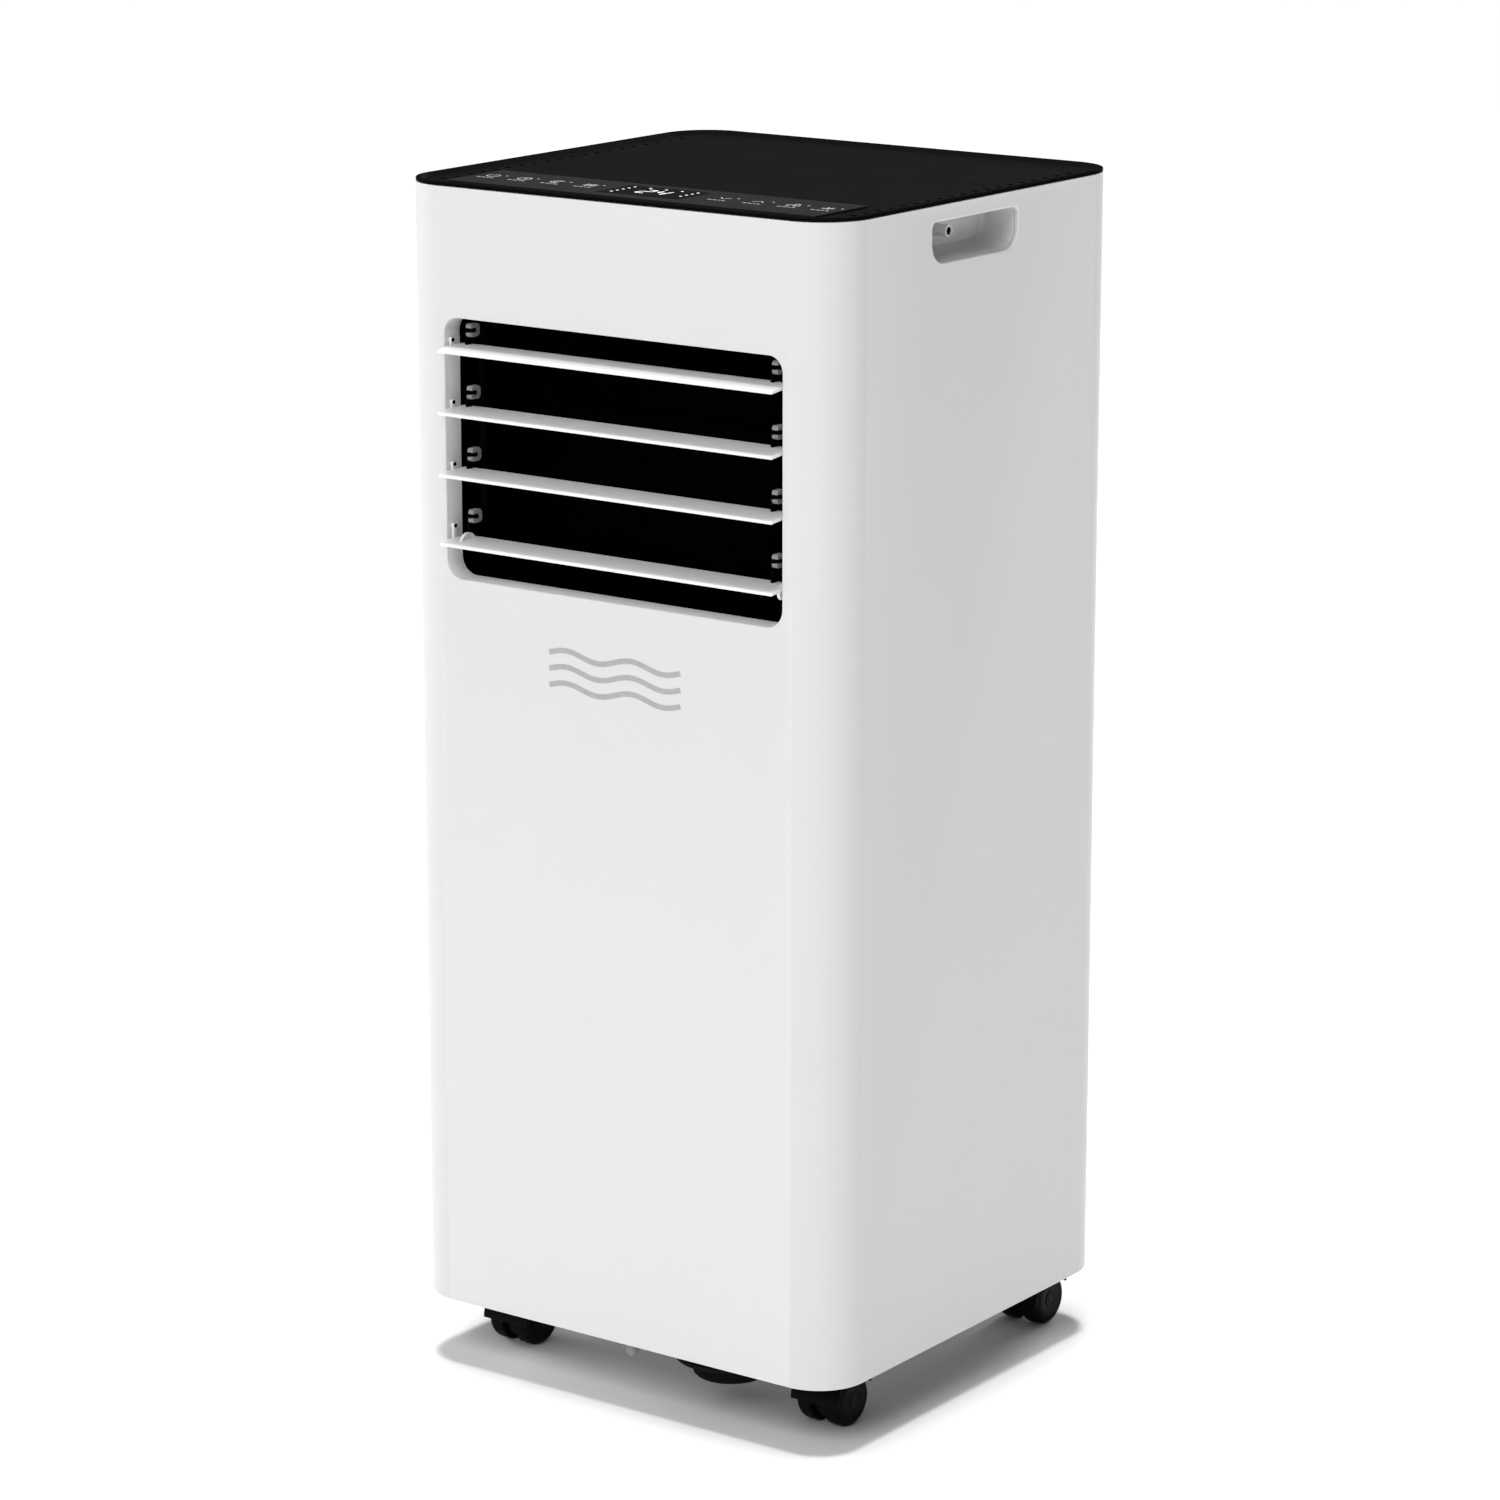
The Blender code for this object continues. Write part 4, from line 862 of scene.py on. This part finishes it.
def blades():
    """Four blades with pivot pins in the reveal's holes and dark lugs for the link's clips."""
    nub_profile = [(0, 0.0010), (0.0014, 0.0010), (0.0014, -0.0006)]
    nub_profile += [(0.0010, -0.0011), (0, -0.0012)]
    middle = (BLADE_FRONT + BLADE_REAR) / 2 - PIVOT_Y
    section = blade_section()
    for index in range(4):
        y, z = PIVOT_Y, PIVOT_TOP_Z - PIVOT_PITCH * index
        below = BLADE_BELOW_PIVOT[index]
        outline = [(y + middle + u, z - below + v + BLADE_THICK / 2) for u, v in section]
        blade = prism("blade", outline, "X", -0.1136, 0.1136)
        settle(soften(blade, 0.00045, 3, 40))
        crank = (y + CRANK_Y, z + CRANK_Z)
        lugs = []
        for side in (-1, 1):
            ends = sorted((side * 0.1126, side * 0.1140))
            join(blade, prism("ear", tab((y, z), 0.0015, z - below), "X", *ends))
            ends = sorted((side * 0.1130, side * 0.1172))
            join(blade, rod("pin", 0.0012, (ends[0], y, z), ends[1] - ends[0], "X", 20))
            x = side * CLIP_X
            lug_start = x - 0.0036
            outline = tab(crank, 0.0020, z - below + 0.0011)
            lug = prism("lug", outline, "X", lug_start, lug_start + 0.0014)
            lugs.append(join(lug, rod("pin", 0.0011, (x - 0.0040, *crank), 0.0061, "X", 16)))
            start = (min(side * 0.1122, side * 0.1131), y, z)
            lugs.append(rod("pin_end", 0.0011, start, 0.0009, "X", 24))
            if index < 3:
                centre = (side * 0.1005, y + 0.0015, z - below - 0.0009)
                join(blade, lathe("nub", nub_profile, "Z", centre, 16))
        if index == 3:
            lowest_blade_discs(blade, z)
        body, piece = f"blade_{index + 1}", f"louvre_{index + 1}"
        node = f"louvre_blade_{index + 1}"
        # The blades take the lighter copy of the white plastic: painted light.
        finished(blade, piece, body, "painted_light_white", node, slot="white_plastic")
        # The lugs and pin ends are near-black: dark parts with painted shade.
        lugs = together("lugs", lugs)
        finished(lugs, f"{piece}_lugs", body, "black_with_painted_shade", slot="black_plastic")


def links():
    """Each link is a dark bar with four arms that carry grey open clips, chamfered behind."""
    pins = [(PIVOT_Y + CRANK_Y, PIVOT_TOP_Z - PIVOT_PITCH * i + CRANK_Z) for i in range(4)]
    for side, name in ((-1, "left"), (1, "right")):
        lo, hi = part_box(f"link_bar_{name}")
        x = CLIP_X * side
        dark = [slab("rail", (x - 0.00175, RAIL_FRONT, lo.z), (x + 0.00175, RAIL_BACK, hi.z))]
        clips = []
        for y, z in pins:
            low, high = (x - 0.0012, y + 0.0041, z - 0.0016), (x + 0.0012, -0.1200, z + 0.0016)
            dark.append(slab("arm", low, high))
            rear, front, jaw = y + 0.0046, y - 0.0031, y - 0.0022
            outline = [(rear, z - 0.0022), (rear, z + 0.0022), (rear - 0.0015, z + 0.0037)]
            outline += [(jaw, z + 0.0037), (front, z + 0.0028), (front, z + 0.0013)]
            outline += arc((y, z), 0.0016, 125, -125, 14)
            outline += [(front, z - 0.0013), (front, z - 0.0028), (jaw, z - 0.0037)]
            outline += [(rear - 0.0015, z - 0.0037)]
            clip = prism("clip", outline, "X", x - 0.0019, x + 0.0019)
            clips.append(settle(soften(clip, 0.00012, 2, 40)))
        rail = join(*dark)
        settle(soften(rail, 0.0002, 2))
        body, node = f"link_{name}", f"link_bar_{name}"
        # The rail and arms are near-black: dark parts with painted shade.
        finished(rail, f"link_rail_{name}", body, "black_with_painted_shade", node, slot="black_plastic")
        finished(together("clips", clips), f"link_clips_{name}", body, "link_plastic")


# Base and casters


def casters():
    for end in ("front", "rear"):
        for side_name, side in (("left", -1), ("right", 1)):
            name = f"{end}_{side_name}"
            caster_hood(name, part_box(f"caster_fork_{name}"))
            for letter in ("a", "b"):
                caster_wheel(name, letter)


def wheel_centre(name, letter):
    lo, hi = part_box(f"caster_wheel_{name}_{letter}")
    return (lo + hi) / 2


def caster_hood(name, box):
    """The hood over the twin wheels, its swivel neck and the axle's end caps."""
    left, right = wheel_centre(name, "a"), wheel_centre(name, "b")
    x, y, z = (left.x + right.x) / 2, left.y, left.z
    half = WHEEL_OFFSET + WHEEL_WIDTH / 2
    outer = arc((y, z), 0.0180, 25, 180, 30)
    inner = arc((y, z), 0.0163, 180, 25, 30)
    hood = prism("hood", outer + inner, "X", x - half - 0.0005, x + half + 0.0005)
    settle(soften(hood, 0.0006, 3, 40))
    web = prism("web", arc((y, z), 0.0125, 0, 360, 40)[:-1], "X", x - 0.003, x + 0.003)
    riser = slab("riser", (x - 0.0028, y - 0.010, 0.016), (x + 0.0028, y + 0.010, 0.0325))
    top = box[1].z
    neck_top = 0.0402
    profile = [(0, 0.0262), (0.0085, 0.0262), (0.0085, neck_top - 0.0016)]
    profile += [(0.0079, neck_top - 0.0012), (0.0079, neck_top - 0.0004), (0.0076, neck_top)]
    profile += [(0.0040, neck_top), (0.0040, top - 0.0008), (0.0032, top), (0, top)]
    neck = lathe("neck", profile, "Z", (x, y - TRAIL, 0), 40)
    join(hood, web, riser, neck)
    reach = WHEEL_WIDTH / 2 + 0.0006
    clear = WHEEL_RADIUS + 0.0006
    space = [(clear, -reach), (clear, reach), (0.0024, reach), (0.0024, -reach)]
    for side in (-1, 1):
        cut(hood, lathe("space", space, "X", (x + side * WHEEL_OFFSET, y, z), 48))
    axle = rod("axle", 0.0025, (x - half + 0.0006, y, z), 2 * half - 0.0012, "X", 24)
    join(hood, axle)
    body, node = f"caster_{name}", f"caster_fork_{name}"
    finished(hood, f"caster_hood_{name}", body, "caster_plastic", node)


def caster_wheel(name, letter):
    """A barrel wheel: a softer tread with a round shoulder, and a domed hub with a small cap."""
    centre = wheel_centre(name, letter)
    out = -1 if letter == "a" else 1
    half = WHEEL_WIDTH / 2
    shoulder, wide, drop = 0.0108, 0.0047, 0.0048
    face = half - 0.0004
    tread = [(shoulder - 0.0006, face - 0.0004), (shoulder, face)]
    for turn in range(10, 91, 8):
        angle = math.radians(turn)
        tread.append((shoulder + wide * math.sin(angle), face - drop * (1 - math.cos(angle))))
    tread += [(WHEEL_RADIUS, -half + 0.0006), (WHEEL_RADIUS - 0.0005, -half)]
    tread += [(shoulder - 0.0006, -half)]
    hub = [(0.0027, half - 0.0008), (0.0040, half - 0.0004), (0.0046, half - 0.0005)]
    hub += [(0.0050, half - 0.0009), (0.0075, half - 0.0007), (0.0096, half - 0.0006)]
    hub += [(shoulder - 0.0007, half - 0.0006), (shoulder - 0.0007, -half + 0.0002)]
    hub += [(0.0027, -half + 0.0002)]
    body, node = f"wheel_{name}_{letter}", f"caster_wheel_{name}_{letter}"
    parts = ("tread", tread, "caster_tread"), ("hub", hub, "caster_plastic")
    for label, half_section, look in parts:
        profile = [(radius, out * along) for radius, along in half_section]
        turned = lathe(label, profile, "X", centre, 64)
        finished(turned, f"caster_{label}_{name}_{letter}", body, look, node)


def under_base():
    """The sump's dish with its flange, and the pale drain nub beside it."""
    lo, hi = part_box("sump_cup")
    centre = ((lo.x + hi.x) / 2, (lo.y + hi.y) / 2, 0)
    top, low = hi.z, lo.z
    flange, radius = (hi.x - lo.x) / 2, 0.0220
    profile = [(0, top), (flange - 0.0045, top), (flange - 0.0045, top - 0.0036)]
    profile += [(flange - 0.0005, top - 0.0040), (flange, top - 0.0045), (flange, top - 0.0065)]
    profile += [(flange - 0.0005, top - 0.0070), (radius + 0.0012, top - 0.0070)]
    profile += [(radius + 0.0004, top - 0.0078), (radius, low + 0.0042)]
    profile += [(radius - 0.0006, low + 0.0018), (radius - 0.0020, low + 0.0005)]
    profile += [(radius - 0.0042, low), (0.0060, low), (0.0055, low + 0.0005), (0, low + 0.0006)]
    cup = lathe("cup", profile, "Z", centre, 96)
    finished(cup, "sump_dish", "cabinet", "black_plastic", "sump_cup")

    lo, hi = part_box("drain_nub")
    centre = ((lo.x + hi.x) / 2, (lo.y + hi.y) / 2, 0)
    top, low = hi.z, lo.z
    profile = [(0, top), (0.0048, top), (0.0048, top - 0.0030), (0.0040, top - 0.0036)]
    profile += [(0.0041, low + 0.0045), (0.0036, low + 0.0020), (0.0026, low + 0.0006)]
    profile += [(0.0014, low), (0, low)]
    nub = lathe("nub", profile, "Z", centre, 40)
    finished(nub, "drain_stub", "cabinet", "clear_plastic", "drain_nub")


# Back


def slot_outlines(low_z, high_z):
    """Two columns of level slots with round ends, at the same pitch as the CAD grilles."""
    rows = int((high_z - low_z) / SLOT_PITCH)
    first = (low_z + high_z - (rows - 1) * SLOT_PITCH) / 2
    half = SLOT_HEIGHT / 2
    outlines = []
    for row in range(rows):
        z = first + row * SLOT_PITCH
        for start, end in ((0.004, 0.092), (-0.092, -0.004)):
            outlines.append(rounded((start, z - half), (end, z + half), half - 0.0001, 6))
    return outlines


def slot_cutter(low_z, high_z):
    slots = []
    for outline in slot_outlines(low_z, high_z):
        slots.append(prism("slot", outline, "Y", CUT_START, CUT_END))
    return together("slots", slots)


def lower_slats():
    """Slanted slats behind the lower grille, so that the works can't be touched."""
    made = []
    for outline in slot_outlines(*LOWER_GRILLE):
        xs = [u for u, _ in outline]
        z = sum(v for _, v in outline) / len(outline)
        section = [(0.1352, z - 0.0016), (0.1372, z + 0.0022)]
        section += [(0.1374, z + 0.0014), (0.1358, z - 0.0016)]
        made.append(prism("slat", section, "X", min(xs) - 0.001, max(xs) + 0.001))
    finished(together("slats", made), "lower_slats", "cabinet", "white_plastic")


def rear_panel():
    """The rear panel with its frame, its openings and a groove round the lower grille."""
    lo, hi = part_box("rear_casing")
    edge = RETURN_X - 0.0004
    outline = rounded((-edge, lo.z), (edge, hi.z), 0.0012, 4)
    panel = prism("panel", outline, "Y", REAR - WALL, REAR)
    settle(soften(panel, 0.0005, 3, 50))
    flange = rounded((-0.119, 0.064), (0.119, 0.675), 0.004, 6)
    spine = rounded((-edge, 0.070), (edge, 0.670), 0.004, 6)
    join(
        panel,
        prism("flange", flange, "Y", 0.1345, REAR - WALL - 0.0004),
        prism("spine", spine, "Y", 0.1350, REAR - 0.001),
    )
    window = rounded((-0.0986, 0.4764), (0.0986, 0.6536), 0.008)
    cut(panel, prism("window", window, "Y", CUT_START, CUT_END))
    cut(panel, slot_cutter(*LOWER_GRILLE))
    holes = [(COLLAR_HOLE, 0, COLLAR_Z)]
    holes += [(0.0066, 0.088, 0.300), (0.0066, 0, 0.056)]  # drain plugs
    holes += [(0.0082, -0.088, 0.075)]  # cord gland
    for radius, x, z in holes:
        cut(panel, rod("hole", radius, (x, CUT_START, z), 0.04, "Y", 64))
    outer = rounded((-0.1065, 0.0905), (0.1065, 0.2845), 0.006)
    inner = rounded((-0.1055, 0.0915), (0.1055, 0.2835), 0.005)
    floor, mouth = REAR - 0.0006, REAR + 0.001
    rings = [(outer, floor), (inner, floor), (inner, mouth), (outer, mouth)]
    cut(panel, loft("groove", rings, "Y", closed=True))
    finished(panel, "rear_panel", "cabinet", "white_plastic", "rear_casing")


def rear_screws():
    """Cross-head screws that hold the rear panel."""
    profile = [(0, REAR + 0.0016), (0.0018, REAR + 0.0015), (0.0029, REAR + 0.0011)]
    profile += [(0.0034, REAR + 0.0004), (0.0034, REAR - 0.0002), (0, REAR - 0.0002)]
    screws = []
    for x in (-0.106, 0.106):
        for z in (0.050, 0.300, 0.465, 0.672):
            slots = []
            for half_x, half_z in ((0.0017, 0.0003), (0.0003, 0.0017)):
                low = (x - half_x, REAR + 0.0007, z - half_z)
                high = (x + half_x, REAR + 0.01, z + half_z)
                slots.append(slab("cross", low, high))
            screws.append(cut(lathe("screw", profile, "Y", (x, 0, z), 28), *slots))
    finished(together("screws", screws), "rear_screws", "cabinet", "galvanised_steel")


def filter_door():
    """The slotted filter cover with two finger grips at its top."""
    outline = rounded((-0.098, 0.477), (0.098, 0.653), 0.0074)
    door = prism("door", outline, "Y", REAR - WALL, REAR)
    settle(soften(door, 0.0005, 3, 50))
    cut(door, slot_cutter(*FILTER_GRILLE))
    grips = []
    for side in (-1, 1):
        x = side * 0.060
        grip = rounded((x - 0.011, 0.6465), (x + 0.011, 0.6505), 0.0018, 6)
        grips.append(prism("grip", grip, "Y", REAR - 0.0012, REAR + 0.01))
    cut(door, together("grips", grips))
    finished(door, "filter_door", "filter_cover", "white_plastic", "filter_cover")


def hose_collar():
    """The exhaust collar, with a bead at its mouth, ribs on its flange and three bayonet lugs."""
    lo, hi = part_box("exhaust_collar")
    end, z = hi.y, (lo.z + hi.z) / 2
    inner, sleeve, flange = 0.062, 0.0665, 0.0745
    profile = [(inner, 0.1200), (sleeve - 0.0006, 0.1200), (sleeve, 0.1206), (sleeve, REAR + GAP)]
    profile += [(flange - 0.0004, REAR + GAP), (flange, REAR + 0.0008), (flange, REAR + 0.0022)]
    profile += [(flange - 0.0008, REAR + 0.0028), (sleeve + 0.0010, REAR + 0.0028)]
    profile += [(sleeve, REAR + 0.0036), (sleeve, end - 0.0010), (sleeve - 0.0008, end)]
    profile += [(inner + 0.0010, end), (inner, end - 0.0012)]
    collar = lathe("collar", profile, "Y", (0, 0, z), 128)
    lugs = []
    for turn in (90, 210, 330):
        inside = arc((0, z), inner + 0.0006, turn - 9, turn + 9, 8)
        outside = arc((0, z), inner - 0.0022, turn + 9, turn - 9, 8)
        lugs.append(prism("lug", inside + outside, "Y", end - 0.0048, end - 0.0020))
    join(collar, *lugs)
    finished(collar, "hose_collar", "cabinet", "white_plastic", "exhaust_collar")


def rear_plugs():
    """Ribbed rubber plugs in the two drains."""
    for name in ("drain_plug", "lower_drain_plug"):
        lo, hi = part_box(name)
        centre = ((lo.x + hi.x) / 2, 0, (lo.z + hi.z) / 2)
        start, end = lo.y, hi.y
        profile = [(0, end), (0.0052, end), (0.0056, end - 0.0006), (0.0064, end - 0.0006)]
        profile += [(0.0068, end), (0.0078, end - 0.0002), (0.0085, end - 0.0010)]
        profile += [(0.0085, REAR + 0.0008), (0.0080, REAR + GAP), (0.0062, REAR + GAP)]
        profile += [(0.0062, start + 0.0008), (0.0056, start), (0, start)]
        plug = lathe("plug", profile, "Y", centre, 56)
        finished(plug, f"{name}_cap", name, "rubber", name)


# CAD nodes that stay, with softened edges and their own materials, but the nodes deep in the
# outlet get painted shade

DEFAULT_ROUNDING = 0.0004
ROUNDING = {
    "base_pan": 0.0008,
    "control_board": 0.0002,
    "swing_motor": 0.0003,
    "cord_gland": 0.0003,
    "electrical_box": 0.0,
}
# These nodes inside the outlet get a near-black painted shade instead of their own materials.
IN_THE_DARK = ("outlet_duct", "upper_scroll")


def keep_cad_nodes():
    slots = {row["node"]: row["material_slot"] for row in frame["record"]["subparts"]}
    for name, obj in nodes.items():
        if obj.hide_render:
            continue
        obj.data.materials.clear()
        # Painted shade for the nodes in IN_THE_DARK.
        obj.data.materials.append(LOOKS["painted_shade_interior" if name in IN_THE_DARK else slots[name]])
        width = ROUNDING.get(name, DEFAULT_ROUNDING)
        if width:
            soften(obj, width, 2, weld=True)


# Stage


# Each lamp's kind, size, energy, place, and the direction away from where it shines. The sun's
# size is an angle. The last one lies under the base and lightens the shadow there.
LAMPS = {
    "overhead": ("SUN", math.radians(15), 3.0, (0.0, 0.0, 3.0), (-0.012, 0.014, 1.0)),
    "key": ("AREA", 2.4, 104, (0.75, -3.32, 3.05), (0.75, -3.17, 2.65)),
    "fill": ("AREA", 1.2, 36, (-3.2, -0.35, 1.3), (-3.2, -0.35, 0.9)),
    "back": ("AREA", 1.6, 38, (0.0, 3.3, 1.5), (0.0, 3.3, 1.1)),
    "under": ("AREA", 0.25, 0.035, (0.0, 0.0, SHELL_BOTTOM - 0.0005), (0.0, 0.0, 1.0)),
}


def studio():
    """The pale floor, an even pale world and soft lamps."""
    bm = bmesh.new()
    bmesh.ops.create_grid(bm, x_segments=8, y_segments=8, size=150)
    floor = new_object("studio_floor", bm)
    look = Look("studio_floor", (0.93, 0.93, 0.93), 0.85, specular=0.1).mottle(0.7, 0.006)
    floor.data.materials.append(look.made)

    world = bpy.data.worlds.new("studio")
    world.use_nodes = True
    background = world.node_tree.nodes["Background"]
    background.inputs["Color"].default_value = (1.0, 1.0, 1.0, 1)
    background.inputs["Strength"].default_value = 0.15
    bpy.context.scene.world = world

    for name, (kind, size, energy, place, away) in LAMPS.items():
        light = bpy.data.lights.new(name, kind)
        setattr(light, "angle" if kind == "SUN" else "size", size)
        light.energy = energy
        lamp = placed(name, light)
        lamp.location = place
        lamp.rotation_euler = Vector(away).to_track_quat("Z", "Y").to_euler()
        lamp.visible_camera = False


def camera():
    """The camera, at the photograph's height and angle."""
    data = bpy.data.cameras.new("camera")
    data.lens = 121.66
    data.sensor_width = 36
    data.clip_start, data.clip_end = 0.05, 80
    obj = placed("camera", data)
    obj.location = (1.6475, -2.2784, 1.0535)
    forward = Vector((-0.57052, 0.78517, -0.240863))
    obj.rotation_euler = forward.to_track_quat("-Z", "Y").to_euler()
    bpy.context.scene.camera = obj


for leftover in [o for o in bpy.context.scene.objects if o.name in ("Cube", "Light", "Camera")]:
    bpy.data.objects.remove(leftover, do_unlink=True)
bpy.context.scene.view_settings.view_transform = "Standard"

camera()
cabinet_shell()
handle_pockets()
top_tray()
control_panel()
emblem()
blades()
links()
casters()
under_base()
rear_panel()
rear_screws()
filter_door()
lower_slats()
hose_collar()
rear_plugs()
keep_cad_nodes()
studio()
